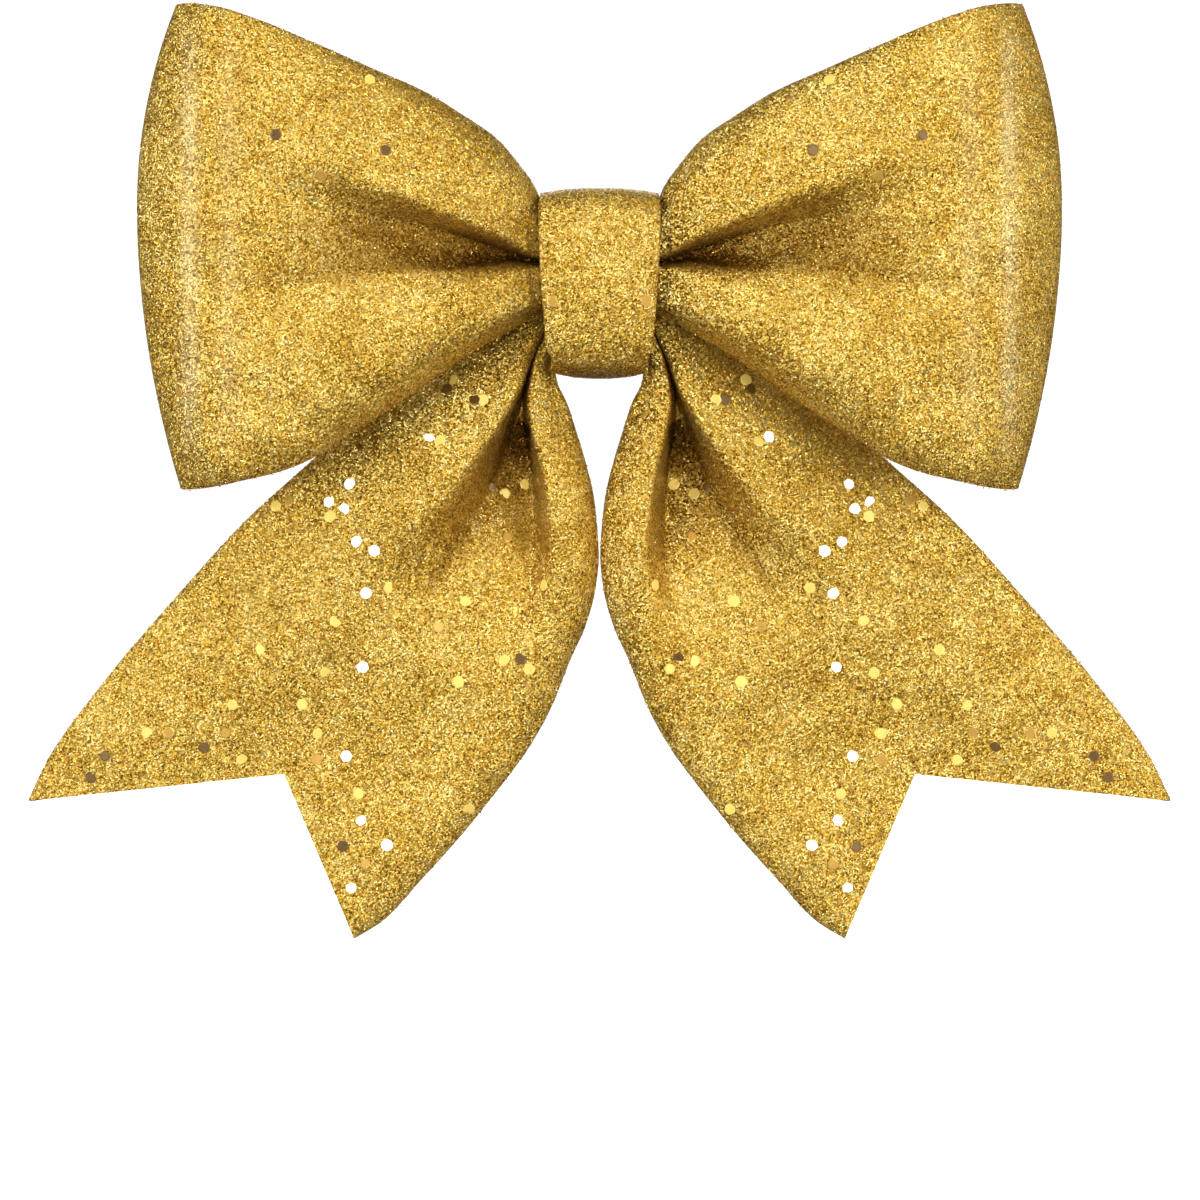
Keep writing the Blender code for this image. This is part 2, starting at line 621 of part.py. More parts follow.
# --------------------------------------------------------------------- build
clear_scene()
GLITTER = material("gold_glitter_fabric", (0.66, 0.42, 0.11), 0.38, 0.75)
LINING = material("grosgrain_lining", (0.62, 0.44, 0.20), 0.72)
THREAD = material("waxed_thread", (0.52, 0.40, 0.22), 0.65)
GLUE = material("hot_melt_glue", (0.82, 0.78, 0.66), 0.30)
STEEL = material("nickel_plated_steel", (0.72, 0.72, 0.71), 0.24, 1.0)

HINGE = Vector((PIN_X, PIN_Y, 0.0))
LEFT_ROOT = Vector((ROOT_X, -11.4 * MM, -7.0 * MM))
RIGHT_ROOT = Vector((-ROOT_X, -11.4 * MM, -7.0 * MM))

make_loops()
make_tail_gather()
make_tail(1, "left", LEFT_ROOT)
make_tail(-1, "right", RIGHT_ROOT)
make_knot_wrap()
make_binding()
make_glue()
make_clip(HINGE)
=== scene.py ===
"""Looks of the cheer hair bow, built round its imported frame."""

import math

import bmesh
import bpy
import numpy as np
from mathutils import Matrix, Vector
from mathutils.bvhtree import BVHTree


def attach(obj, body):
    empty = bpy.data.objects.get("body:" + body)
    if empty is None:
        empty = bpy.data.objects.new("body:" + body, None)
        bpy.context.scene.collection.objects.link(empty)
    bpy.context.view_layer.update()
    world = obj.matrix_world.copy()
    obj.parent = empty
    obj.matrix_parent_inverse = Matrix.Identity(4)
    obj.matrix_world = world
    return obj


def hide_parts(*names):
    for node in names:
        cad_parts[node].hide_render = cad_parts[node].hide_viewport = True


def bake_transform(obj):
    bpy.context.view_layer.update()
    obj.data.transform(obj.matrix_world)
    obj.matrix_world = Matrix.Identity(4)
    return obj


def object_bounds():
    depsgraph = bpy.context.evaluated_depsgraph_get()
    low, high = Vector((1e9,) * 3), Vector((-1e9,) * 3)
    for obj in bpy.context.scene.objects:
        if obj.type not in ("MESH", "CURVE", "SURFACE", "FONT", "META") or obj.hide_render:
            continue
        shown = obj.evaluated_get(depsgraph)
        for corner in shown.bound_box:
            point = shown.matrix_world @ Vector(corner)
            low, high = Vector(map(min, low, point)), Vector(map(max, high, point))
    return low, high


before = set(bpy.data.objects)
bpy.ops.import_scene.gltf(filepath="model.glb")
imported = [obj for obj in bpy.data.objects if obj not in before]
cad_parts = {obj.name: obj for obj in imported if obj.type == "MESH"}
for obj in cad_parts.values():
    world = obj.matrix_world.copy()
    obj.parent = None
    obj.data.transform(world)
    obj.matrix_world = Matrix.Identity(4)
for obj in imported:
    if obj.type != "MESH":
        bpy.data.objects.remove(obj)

CAD_BOX = [list(map(float, v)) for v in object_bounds()]
MM = 0.001
rng = np.random.default_rng(20418)

# ------------------------------------------------------------------ numerics


def through(table, at):
    """Smooth, never overshooting curve through (station, value) pairs."""
    t = np.asarray(table, float)
    x, y = t[:, 0], t[:, 1]
    h = np.diff(x)
    r = np.diff(y) / h
    m = np.zeros(len(x))
    m[0], m[-1] = r[0], r[-1]
    for i in range(1, len(x) - 1):
        if r[i - 1] * r[i] > 0:
            a, b = 2 * h[i] + h[i - 1], h[i] + 2 * h[i - 1]
            m[i] = (a + b) / (a / r[i - 1] + b / r[i])
    at = np.clip(np.asarray(at, float), x[0], x[-1])
    i = np.clip(np.searchsorted(x, at, side="right") - 1, 0, len(h) - 1)
    s = (at - x[i]) / h[i]
    return (
        y[i] * (1 + 2 * s) * (1 - s) ** 2
        + h[i] * m[i] * s * (1 - s) ** 2
        + y[i + 1] * s * s * (3 - 2 * s)
        - h[i] * m[i + 1] * s * s * (1 - s)
    )


def rise(a, b, x):
    t = np.clip((np.asarray(x, float) - a) / (b - a), 0, 1)
    return t * t * (3 - 2 * t)


def ripple(p, seed, wavelength, octaves=2):
    """Smooth pseudo-random field made of plane waves; p is (..., n) in metres."""
    r = np.random.default_rng(seed)
    out = np.zeros(p.shape[:-1])
    amplitude, total = 1.0, 0.0
    for _ in range(octaves):
        for _ in range(7):
            d = r.normal(size=p.shape[-1])
            d /= np.linalg.norm(d)
            out += amplitude * np.sin(p @ d * (2 * math.pi / wavelength) * r.uniform(0.6, 1.5) + r.uniform(0, 6.28))
        total += amplitude * 7**0.5
        amplitude *= 0.5
        wavelength *= 0.45
    return out / total


# ------------------------------------------------------------------- surfaces
LOOP_UPPER_EDGE = [
    (0, 10.6), (7, 11.4), (9.2, 12.4), (10.2, 14.7), (12.6, 18.1), (16.2, 22.2),
    (21.2, 25.6), (27.1, 29.2), (36, 33.1), (44, 36.6), (52.6, 40.2), (60, 42.6),
    (66, 43.6), (73, 43.9),
]
LOOP_LOWER_EDGE = [
    (0, -3.2), (7, -3.9), (9.2, -4.7), (15.1, -8.0), (20.1, -10.9), (25.1, -14.2),
    (30.1, -17.7), (35.1, -21.3), (40.1, -24.4), (45.1, -27.7), (50.1, -29.7),
    (55.1, -30.9), (60, -31.9), (65.3, -32.5), (73, -32.7),
]
LOOP_PLEAT_LINE = [(0, 3.2), (9.2, 3.3), (15.5, 5.3), (24, 7.6), (32, 8.8), (44, 8.6), (60, 6.6), (73, 5.6)]
LOOP_PLAN = [
    (0.0, -18.7), (0.13, -20.3), (0.24, -24.0), (0.40, -26.9), (0.60, -27.4),
    (0.78, -26.3), (0.885, -24.9), (0.945, -22.2), (1.0, -17.3), (0.975, -14.0),
    (0.90, -12.0), (0.76, -11.6), (0.58, -12.4), (0.40, -13.2), (0.24, -13.8),
    (0.13, -13.75), (0.0, -13.7),
]
PLEAT_DEPTH = [
    (0, 2.4), (0.13, 3.7), (0.2, 5.2), (0.26, 5.9), (0.34, 6.1), (0.42, 5.2), (0.5, 3.6), (0.62, 1.7), (0.8, 0.3), (1, 0),
]
UPPER_SET_BACK = [(0, 1.6), (0.13, 2.6), (0.24, 4.4), (0.4, 5.2), (0.6, 3.8), (0.8, 1.8), (1, 0.6)]
LOWER_SET_BACK = [(0, 1.6), (0.13, 3.0), (0.24, 5.0), (0.4, 6.0), (0.6, 5.0), (0.8, 2.8), (1, 0.6)]
# Reach of the pleat's steep upper wall and of its gentler lower one, as
# shares of the half width.
PLEAT_UP = [(0, 0.08), (0.13, 0.06), (0.24, 0.066), (0.34, 0.085), (0.45, 0.13), (0.6, 0.22), (1, 0.34)]
PLEAT_DOWN = [(0, 0.10), (0.13, 0.13), (0.21, 0.24), (0.33, 0.33), (0.45, 0.40), (0.6, 0.46), (1, 0.5)]
PLEAT_DOWN_POWER = [(0, 3.6), (0.24, 3.4), (0.36, 2.6), (0.5, 1.8), (1, 1.5)]


def loop_reach(z):
    half = np.where(z > 12, 31.6, 44.5)
    drop = np.where(z > 12, 6.1, 6.8)
    return 72.1 - drop * ((z - 12) / half) ** 2


def pleat_shape(s, b):
    """How deep the front pleat is at a place, in mm, and its share of that."""
    v = 2 * b - 1
    share = through(np.column_stack([np.linspace(0, 1, len(LOOP_PLAN)), [p[0] for p in LOOP_PLAN]]), s)
    front = 1 - rise(0.42, 0.62, s)
    w = np.where(v > 0, through(PLEAT_UP, share), through(PLEAT_DOWN, share))
    fold = np.where(v > 0, np.exp(-((np.abs(v) / w) ** 2.6)), np.exp(-((np.abs(v) / w) ** through(PLEAT_DOWN_POWER, share))))
    return front * through(PLEAT_DEPTH, share) * fold, front * fold


def loop_surface(s, b, detail=True):
    """Left loop's middle surface, in metres; s from the middle of the front
    round the fold to the middle of the back, b from lower to upper edge."""
    v = 2 * b - 1
    outer_z = -32.5 + b * 76.1
    stations = np.linspace(0, 1, len(LOOP_PLAN))
    share = through(np.column_stack([stations, [p[0] for p in LOOP_PLAN]]), s)
    y = through(np.column_stack([stations, [p[1] for p in LOOP_PLAN]]), s)
    x = share * loop_reach(outer_z)
    behind = rise(0.42, 0.62, s)
    front = 1 - behind
    pleat = through(LOOP_PLEAT_LINE, x)
    edge = np.where(v > 0, through(LOOP_UPPER_EDGE, x), through(LOOP_LOWER_EDGE, x))
    z = pleat + np.abs(v) * (edge - pleat) - np.sign(v) * np.abs(v) * behind
    w = np.where(v > 0, through(PLEAT_UP, share), through(PLEAT_DOWN, share))
    fold = np.where(v > 0, np.exp(-((np.abs(v) / w) ** 2.6)), np.exp(-((np.abs(v) / w) ** through(PLEAT_DOWN_POWER, share))))
    y = y + front * through(PLEAT_DEPTH, share) * fold
    set_back = np.where(v > 0, through(UPPER_SET_BACK, share), through(LOWER_SET_BACK, share))
    y = y + front * set_back * np.abs(v) ** np.where(v > 0, 4.0, 9.0)
    y = y - behind * 1.2 * share * v * v
    if detail:
        # The upper panel's ridge stands proud where it rolls into the pleat.
        y = y - front * 1.1 * np.exp(-(((v - 0.05 - 1.6 * w) / 0.13) ** 2)) * rise(0.16, 0.26, share) * (1 - rise(0.5, 0.72, share))
        # Gathers fan out of the knot and die away along the loop.
        fade = np.exp(-((x / 20.0) ** 1.8)) * rise(0.10, 0.30, np.abs(v)) * front
        y = y + fade * 0.12 * np.sin(np.abs(v) * (12.0 + 3.0 * (v > 0)) + 0.8 * np.sin(x / 5.0) + 1.3 * (v > 0))
        # Behind, the same cloth is bunched in deeper folds towards the hollow.
        bunch = behind * rise(1.0, 5, x) * (1 - rise(22, 48, x))
        y = y - bunch * (1.25 - 1.25 * np.cos(v * 19.0 + 0.5 * np.sin(x / 4.0) + 0.4))
        # Soft unevenness of the stuff.
        p = np.stack([x, 1.7 * z, 40 * behind], -1) * MM
        y = y + (0.35 + 0.25 * share) * ripple(p, 5, 0.034) * rise(0.2, 0.45, share) * (1 - 0.5 * rise(0.8, 1, share))
        # A long shallow crease carries the pleat's lower side outwards.
        crease = np.exp(-(((z - 2.2 + 0.18 * (x - 30)) / 2.6) ** 2)) * rise(30, 40, x) * (1 - rise(52, 66, x))
        y = y + front * 0.8 * crease
        # The cut edges turn in at the very rim.
        rim = np.clip((np.abs(v) - 0.94) / 0.06, 0, 1)
        y = y + (front - behind) * 0.4 * rim**2
    return np.stack([-x, y, z], -1) * MM


TAIL_OUTER = [
    (0, -9.0, -1.0), (0.04, -11.6, -3.0), (0.37, -43.1, -26.9), (0.5, -54.2, -36.4), (0.65, -65.9, -49.1),
    (0.8, -77.0, -62.1), (0.94, -86.3, -75.0), (1, -89.2, -81.1),
]
TAIL_FOLD = [
    (0, -8.2, -7.4), (0.04, -10.0, -11.0), (0.15, -12.2, -19.0), (0.3, -14.5, -31.0), (0.5, -20.0, -45.0),
    (0.75, -35.0, -62.0), (1, -49.3, -76.9),
]
TAIL_INNER = [
    (0, -7.2, -12.9), (0.03, -6.9, -15.4), (0.08, -5.2, -19.2), (0.13, -3.7, -23.8), (0.18, -2.4, -28.1),
    (0.25, -1.0, -34.2), (0.31, -0.45, -39.9), (0.35, -0.32, -43.0), (0.40, -0.8, -47.8), (0.46, -2.3, -53.5),
    (0.52, -4.8, -59.1), (0.60, -7.7, -66.4), (0.68, -11.5, -73.2), (0.77, -17.1, -80.7), (0.85, -22.6, -87.4),
    (0.92, -28.2, -93.6), (0.97, -34.0, -99.8), (1, -38.4, -102.5),
]
TAIL_EDGE_Y = [(0, -11.6), (0.15, -11.2), (0.3, -11.0), (0.45, -10.6), (0.6, -10.2), (0.8, -9.4), (1, -8.2)]
TAIL_RIDGE_Y = [(0, -12.2), (0.08, -14.2), (0.2, -16.2), (0.3, -16.4), (0.45, -15.6), (0.6, -14.2), (0.8, -12.0), (1, -10.4)]
TAIL_FLOOR_Y = [(0, -11.2), (0.05, -10.0), (0.13, -7.0), (0.2, -5.2), (0.28, -5.4), (0.34, -6.8), (0.42, -9.6), (0.52, -12.0), (0.62, -12.9), (0.8, -11.8), (1, -10.4)]
TAIL_INNER_RIDGE_Y = [(0, -12.0), (0.08, -13.4), (0.2, -15.6), (0.3, -15.8), (0.45, -14.8), (0.6, -13.6), (0.8, -12.2), (1, -11.0)]
TAIL_INNER_EDGE_Y = [(0, -11.6), (0.08, -12.0), (0.2, -12.4), (0.3, -12.4), (0.45, -12.0), (0.6, -11.6), (0.8, -10.8), (1, -10.2)]
TAIL_WALL_OUT = [(0, 0.485), (0.12, 0.485), (0.2, 0.462), (0.28, 0.435), (0.5, 0.41), (1, 0.42)]
TAIL_WALL_IN = [(0, 0.515), (0.12, 0.515), (0.18, 0.565), (0.24, 0.635), (0.3, 0.68), (0.5, 0.76), (1, 0.78)]


def tail_surface(u, v, detail=True):
    """Left tail's middle surface, in metres."""
    def plan(table):
        return through([(t, x) for t, x, z in table], u), through([(t, z) for t, x, z in table], u)

    (ox, oz), (fx, fz), (ix, iz) = plan(TAIL_OUTER), plan(TAIL_FOLD), plan(TAIL_INNER)
    oz = oz + 1.4 * np.exp(-(((u - 0.27) / 0.10) ** 2))
    a, b = np.clip(2 * v, 0, 1), np.clip(2 * v - 1, 0, 1)
    x = np.where(v < 0.5, ox + a * (fx - ox), fx + b * (ix - fx))
    z = np.where(v < 0.5, oz + a * (fz - oz), fz + b * (iz - fz))
    out, into = through(TAIL_WALL_OUT, u), through(TAIL_WALL_IN, u)
    wall = 0.03 + 0.12 * u
    floor = through(TAIL_FLOOR_Y, u)
    ridge = through(TAIL_RIDGE_Y, u)
    inner_ridge = through(TAIL_INNER_RIDGE_Y, u)
    at_ridge = out - wall
    at_inner = into + wall
    edge = through(TAIL_EDGE_Y, u)
    inner_edge = through(TAIL_INNER_EDGE_Y, u)
    # Outer panel, a crown from its edge to the fold.
    t = np.clip(v / at_ridge, 0, 1)
    y = edge + (ridge - edge) * np.sin(0.5 * math.pi * t) ** 1.15
    soft = 0.012 + 0.03 * rise(0.1, 0.4, u)
    drop = rise(0, 1, (v - at_ridge) / (out + soft - at_ridge))
    y = y + (floor - ridge) * drop
    lift = rise(0, 1, (v - (into - soft)) / (at_inner - into + soft))
    y = y + (inner_ridge - floor) * lift
    t = np.clip((v - at_inner) / (1 - at_inner), 0, 1)
    y = y + (inner_edge - inner_ridge) * t**2.2
    if detail:
        p = np.stack([x, 1.3 * z], -1) * MM
        y = y + 0.45 * ripple(p, 11, 0.040) * rise(0.2, 0.6, u)
        fan = np.exp(-((u / 0.17) ** 1.8)) * rise(0.03, 0.10, np.abs(v - 0.5))
        y = y + 0.15 * fan * np.sin((v - 0.5) * 22.0 + 0.7)
        # The cut edges curl forwards a touch.
        curl = np.clip((np.abs(2 * v - 1) - 0.95) / 0.05, 0, 1)
        y = y + 0.35 * curl**2
    return np.stack([x, y, z], -1) * MM


def grid_normals(points, closed=False):
    if closed:
        du = np.roll(points, -1, 0) - np.roll(points, 1, 0)
    else:
        du = np.gradient(points, axis=0)
    dv = np.gradient(points, axis=1)
    n = np.cross(du, dv)
    length = np.linalg.norm(n, axis=-1, keepdims=True)
    return n / np.maximum(length, 1e-12)


def lengths(points, axis):
    d = np.linalg.norm(np.diff(points, axis=axis), axis=-1)
    zero = np.zeros_like(np.take(d, [0], axis))
    return np.concatenate([zero, np.cumsum(d, axis)], axis)


# ----------------------------------------------------------------- materials
def fresh(name):
    mat = bpy.data.materials.new(name)
    mat.use_nodes = True
    tree = mat.node_tree
    for node in list(tree.nodes):
        tree.nodes.remove(node)
    out = tree.nodes.new("ShaderNodeOutputMaterial")
    bsdf = tree.nodes.new("ShaderNodeBsdfPrincipled")
    tree.links.new(bsdf.outputs[0], out.inputs[0])
    return mat, tree, bsdf


class Graph:
    """Short hand for building node trees."""

    def __init__(self, tree):
        self.tree = tree

    def node(self, kind, inputs=None, **props):
        node = self.tree.nodes.new(kind)
        for key, value in props.items():
            setattr(node, key, value)
        for key, value in (inputs or {}).items():
            socket = node.inputs[key]
            if isinstance(value, bpy.types.NodeSocket):
                self.tree.links.new(value, socket)
            else:
                socket.default_value = value
        return node

    def math(self, operation, a, b=0.0, clamp=False):
        return self.node("ShaderNodeMath", {0: a, 1: b}, operation=operation, use_clamp=clamp).outputs[0]

    def vector(self, operation, a, b=(0, 0, 0), scale=None):
        inputs = {0: a}
        if operation == "SCALE":
            inputs["Scale"] = scale
        elif operation != "NORMALIZE":
            inputs[1] = b
        return self.node("ShaderNodeVectorMath", inputs, operation=operation).outputs[0]

    def ramp(self, factor, stops, interpolation="LINEAR"):
        node = self.node("ShaderNodeValToRGB", {0: factor})
        node.color_ramp.interpolation = interpolation
        elements = node.color_ramp.elements
        while len(elements) < len(stops):
            elements.new(0.5)
        for element, (place, colour) in zip(elements, stops):
            element.position = place
            element.color = (*colour, 1)
        return node.outputs[0]

    def mix(self, factor, a, b, blend="MIX"):
        node = self.node("ShaderNodeMix", data_type="RGBA", blend_type=blend)
        for index, value in ((0, factor), (6, a), (7, b)):
            if isinstance(value, bpy.types.NodeSocket):
                self.tree.links.new(value, node.inputs[index])
            else:
                node.inputs[index].default_value = value if index == 0 else (*value[:3], 1)
        return node.outputs[2]

    def link(self, a, b):
        self.tree.links.new(a, b)


def glitter_material(name, cell=0.23, tilt=0.47, tint=(0.94, 0.885, 0.62)):
    """Film of fine foil flakes: each Voronoi cell is one flake, with its own
    tone, gloss and lean."""
    mat, tree, bsdf = fresh(name)
    g = Graph(tree)
    place = g.node("ShaderNodeTexCoord").outputs["Object"]
    normal = g.node("ShaderNodeNewGeometry").outputs["Normal"]
    fine = g.node("ShaderNodeTexVoronoi", {"Vector": place, "Scale": 1000.0 / cell, "Randomness": 1.0}, feature="F1")
    small = g.node("ShaderNodeTexVoronoi", {"Vector": place, "Scale": 1000.0 / (cell * 0.55), "Randomness": 1.0}, feature="F1")
    split = g.node("ShaderNodeSeparateColor", {0: fine.outputs["Color"]})
    split2 = g.node("ShaderNodeSeparateColor", {0: small.outputs["Color"]})
    cloud = g.node("ShaderNodeTexNoise", {"Vector": place, "Scale": 95.0, "Detail": 3.0, "Roughness": 0.6}).outputs[0]
    patch = g.node("ShaderNodeTexNoise", {"Vector": place, "Scale": 420.0, "Detail": 2.0, "Roughness": 0.5}).outputs[0]
    tone = g.math("ADD", g.math("MULTIPLY", split.outputs[0], 0.62), g.math("MULTIPLY", split2.outputs[1], 0.38))
    tone = g.math("ADD", tone, g.math("MULTIPLY", g.math("SUBTRACT", cloud, 0.5), 0.35))
    tone = g.math("ADD", tone, g.math("MULTIPLY", g.math("SUBTRACT", patch, 0.5), 0.25), True)
    colour = g.ramp(
        tone,
        [
            (0.14, (0.17 * tint[0], 0.078 * tint[1], 0.008 * tint[2])),
            (0.34, (0.44 * tint[0], 0.245 * tint[1], 0.026 * tint[2])),
            (0.52, (0.68 * tint[0], 0.43 * tint[1], 0.075 * tint[2])),
            (0.70, (0.88 * tint[0], 0.67 * tint[1], 0.18 * tint[2])),
            (0.86, (1.0 * tint[0], 0.96 * tint[1], 0.64 * tint[2])),
        ],
    )
    bsdf.inputs["Metallic"].default_value = 0.88
    bsdf.inputs["Specular IOR Level"].default_value = 0.25
    rough = g.math("ADD", g.math("MULTIPLY", split.outputs[2], 0.30), 0.26)
    g.link(rough, bsdf.inputs["Roughness"])
    # How open to the light each place is: painted shade darkens the colour to brown where folds and nearby cloth hide
    # the light.
    openness = g.node("ShaderNodeAttribute", attribute_name="openness").outputs["Fac"]
    shade = g.ramp(openness, [(0.08, (0.040, 0.024, 0.006)), (0.30, (0.20, 0.145, 0.08)), (0.55, (0.58, 0.52, 0.44)), (0.78, (1, 1, 1))])
    colour = g.mix(1.0, colour, shade, "MULTIPLY")
    # Painted highlight: the colour turns pale along a strip of the loops' outer roll, standing in for the light
    # glancing off there.
    painted_highlight = g.node("ShaderNodeAttribute", attribute_name="painted_highlight").outputs["Fac"]
    painted_highlight = g.math("MULTIPLY", painted_highlight, g.math("ADD", g.math("MULTIPLY", patch, 0.9), 0.15), True)
    colour = g.mix(painted_highlight, colour, (1.0, 0.86, 0.50))
    g.link(colour, bsdf.inputs["Base Color"])
    lean = g.vector("SUBTRACT", fine.outputs["Color"], (0.5, 0.5, 0.5))
    lean2 = g.vector("SUBTRACT", small.outputs["Color"], (0.5, 0.5, 0.5))
    lean = g.vector("ADD", g.vector("SCALE", lean, scale=2 * tilt), g.vector("SCALE", lean2, scale=tilt))
    bent = g.vector("NORMALIZE", g.vector("ADD", normal, lean))
    g.link(bent, bsdf.inputs["Normal"])
    return mat


def flake_material(name):
    """Loose foil flakes; their tone is an attribute of each one."""
    mat, tree, bsdf = fresh(name)
    g = Graph(tree)
    tone = g.node("ShaderNodeAttribute", attribute_name="tone").outputs["Fac"]
    colour = g.ramp(
        tone,
        [
            (0.0, (0.22, 0.10, 0.008)),
            (0.35, (0.55, 0.31, 0.035)),
            (0.7, (0.85, 0.59, 0.13)),
            (1.0, (1.0, 0.88, 0.46)),
        ],
    )
    place = g.node("ShaderNodeTexCoord").outputs["Object"]
    haze = g.node("ShaderNodeTexNoise", {"Vector": place, "Scale": 5200.0, "Detail": 1.0}).outputs[0]
    g.link(g.mix(g.math("MULTIPLY", haze, 0.25), colour, (0.85, 0.62, 0.2)), bsdf.inputs["Base Color"])
    g.link(g.math("ADD", g.math("MULTIPLY", haze, 0.2), 0.18), bsdf.inputs["Roughness"])
    bsdf.inputs["Metallic"].default_value = 0.85
    return mat


def sequin_material(name, colour, metallic, roughness, emission=0.0):
    mat, tree, bsdf = fresh(name)
    g = Graph(tree)
    place = g.node("ShaderNodeTexCoord").outputs["Object"]
    cast = g.node("ShaderNodeTexNoise", {"Vector": place, "Scale": 700.0, "Detail": 1.0}).outputs[0]
    dark = tuple(c * 0.82 for c in colour)
    g.link(g.mix(cast, dark, colour), bsdf.inputs["Base Color"])
    scuff = g.node("ShaderNodeTexNoise", {"Vector": place, "Scale": 3000.0, "Detail": 3.0}).outputs[0]
    g.link(g.math("ADD", g.math("MULTIPLY", scuff, 0.18), roughness - 0.09), bsdf.inputs["Roughness"])
    bsdf.inputs["Metallic"].default_value = metallic
    # A sequin can be given a glow of its own: painted brightness with no lamp behind it.
    bsdf.inputs["Emission Color"].default_value = (*colour, 1)
    bsdf.inputs["Emission Strength"].default_value = emission
    return mat


def grosgrain_material(name, colour, uv="weave"):
    """Ribbed ribbon: cords across its width, fine warp between them."""
    mat, tree, bsdf = fresh(name)
    g = Graph(tree)
    coords = g.node("ShaderNodeUVMap", uv_map=uv).outputs[0]
    split = g.node("ShaderNodeSeparateXYZ", {0: coords})
    along_, across = split.outputs[0], split.outputs[1]
    ribs = g.math("SINE", g.math("MULTIPLY", along_, 2 * math.pi / 0.00085))
    ribs = g.math("ADD", g.math("MULTIPLY", ribs, 0.5), 0.5)
    warp = g.math("SINE", g.math("MULTIPLY", across, 2 * math.pi / 0.00030))
    warp = g.math("ADD", g.math("MULTIPLY", warp, 0.5), 0.5)
    wander = g.node("ShaderNodeTexNoise", {"Vector": coords, "Scale": 180.0, "Detail": 3.0}).outputs[0]
    height = g.math("ADD", g.math("MULTIPLY", ribs, 0.8), g.math("MULTIPLY", warp, 0.2))
    height = g.math("ADD", height, g.math("MULTIPLY", wander, 0.35))
    dark = tuple(c * 0.50 for c in colour)
    shade = g.mix(g.math("POWER", ribs, 0.6), dark, colour)
    shade = g.mix(g.math("MULTIPLY", wander, 0.4), shade, tuple(min(1, c * 1.3) for c in colour))
    g.link(shade, bsdf.inputs["Base Color"])
    bsdf.inputs["Roughness"].default_value = 0.62
    bsdf.inputs["Sheen Weight"].default_value = 0.35
    bsdf.inputs["Sheen Roughness"].default_value = 0.4
    bump = g.node("ShaderNodeBump", {"Height": height, "Strength": 0.55, "Distance": 0.00012})
    g.link(bump.outputs[0], bsdf.inputs["Normal"])
    return mat


def metal_material(name):
    """Nickel-plated pressed steel: drawn grain and small scratches."""
    mat, tree, bsdf = fresh(name)
    g = Graph(tree)
    place = g.node("ShaderNodeTexCoord").outputs["Object"]
    stretched = g.vector("MULTIPLY", place, (60.0, 900.0, 2600.0))
    grain = g.node("ShaderNodeTexNoise", {"Vector": stretched, "Scale": 1.0, "Detail": 4.0, "Roughness": 0.65}).outputs[0]
    blotch = g.node("ShaderNodeTexNoise", {"Vector": place, "Scale": 190.0, "Detail": 3.0}).outputs[0]
    scratch = g.node("ShaderNodeTexWave", {"Vector": place, "Scale": 260.0, "Distortion": 9.0, "Detail": 3.0}, bands_direction="DIAGONAL").outputs[1]
    line = g.math("GREATER_THAN", scratch, 0.985)
    g.link(g.mix(blotch, (0.60, 0.59, 0.57), (0.80, 0.79, 0.77)), bsdf.inputs["Base Color"])
    rough = g.math("ADD", g.math("MULTIPLY", grain, 0.22), 0.12)
    rough = g.math("ADD", rough, g.math("MULTIPLY", line, 0.15))
    g.link(rough, bsdf.inputs["Roughness"])
    bsdf.inputs["Metallic"].default_value = 1.0
    bump = g.node("ShaderNodeBump", {"Height": g.math("ADD", grain, g.math("MULTIPLY", line, 0.4)), "Strength": 0.12, "Distance": 0.0001})
    g.link(bump.outputs[0], bsdf.inputs["Normal"])
    return mat


def glue_material(name):
    mat, tree, bsdf = fresh(name)
    g = Graph(tree)
    place = g.node("ShaderNodeTexCoord").outputs["Object"]
    cloud = g.node("ShaderNodeTexNoise", {"Vector": place, "Scale": 380.0, "Detail": 3.0}).outputs[0]
    g.link(g.mix(cloud, (0.72, 0.66, 0.50), (0.90, 0.87, 0.76)), bsdf.inputs["Base Color"])
    g.link(g.math("ADD", g.math("MULTIPLY", cloud, 0.2), 0.18), bsdf.inputs["Roughness"])
    bsdf.inputs["Subsurface Weight"].default_value = 0.35
    bsdf.inputs["Subsurface Radius"].default_value = (0.002, 0.0015, 0.001)
    bump = g.node("ShaderNodeBump", {"Height": cloud, "Strength": 0.4, "Distance": 0.0003})
    g.link(bump.outputs[0], bsdf.inputs["Normal"])
    return mat


def thread_material(name):
    mat, tree, bsdf = fresh(name)
    g = Graph(tree)
    place = g.node("ShaderNodeTexCoord").outputs["Object"]
    twist = g.node("ShaderNodeTexWave", {"Vector": place, "Scale": 1500.0, "Distortion": 1.5}, bands_direction="DIAGONAL").outputs[1]
    g.link(g.mix(twist, (0.30, 0.20, 0.09), (0.62, 0.46, 0.24)), bsdf.inputs["Base Color"])
    bsdf.inputs["Roughness"].default_value = 0.55
    bump = g.node("ShaderNodeBump", {"Height": twist, "Strength": 0.5, "Distance": 0.0001})
    g.link(bump.outputs[0], bsdf.inputs["Normal"])
    return mat


GLITTER = glitter_material("gold_glitter")
FLAKE = flake_material("foil_flake")
LINING = grosgrain_material("tan_grosgrain", (0.60, 0.41, 0.17))
STEEL = metal_material("nickel_steel")
GLUE = glue_material("hot_melt")
THREAD = thread_material("waxed_thread")
SEQUINS = {
    # Pearl sequins glow a little: painted brightness, not a lamp.
    "pearl": sequin_material("sequin_pearl", (1.0, 1.0, 0.98), 0.0, 0.25, 0.55),
    "lemon": sequin_material("sequin_lemon", (1.0, 0.74, 0.16), 0.15, 0.30),
    "amber": sequin_material("sequin_amber", (0.62, 0.36, 0.06), 0.35, 0.30),
    "umber": sequin_material("sequin_umber", (0.16, 0.085, 0.015), 0.4, 0.30),
}


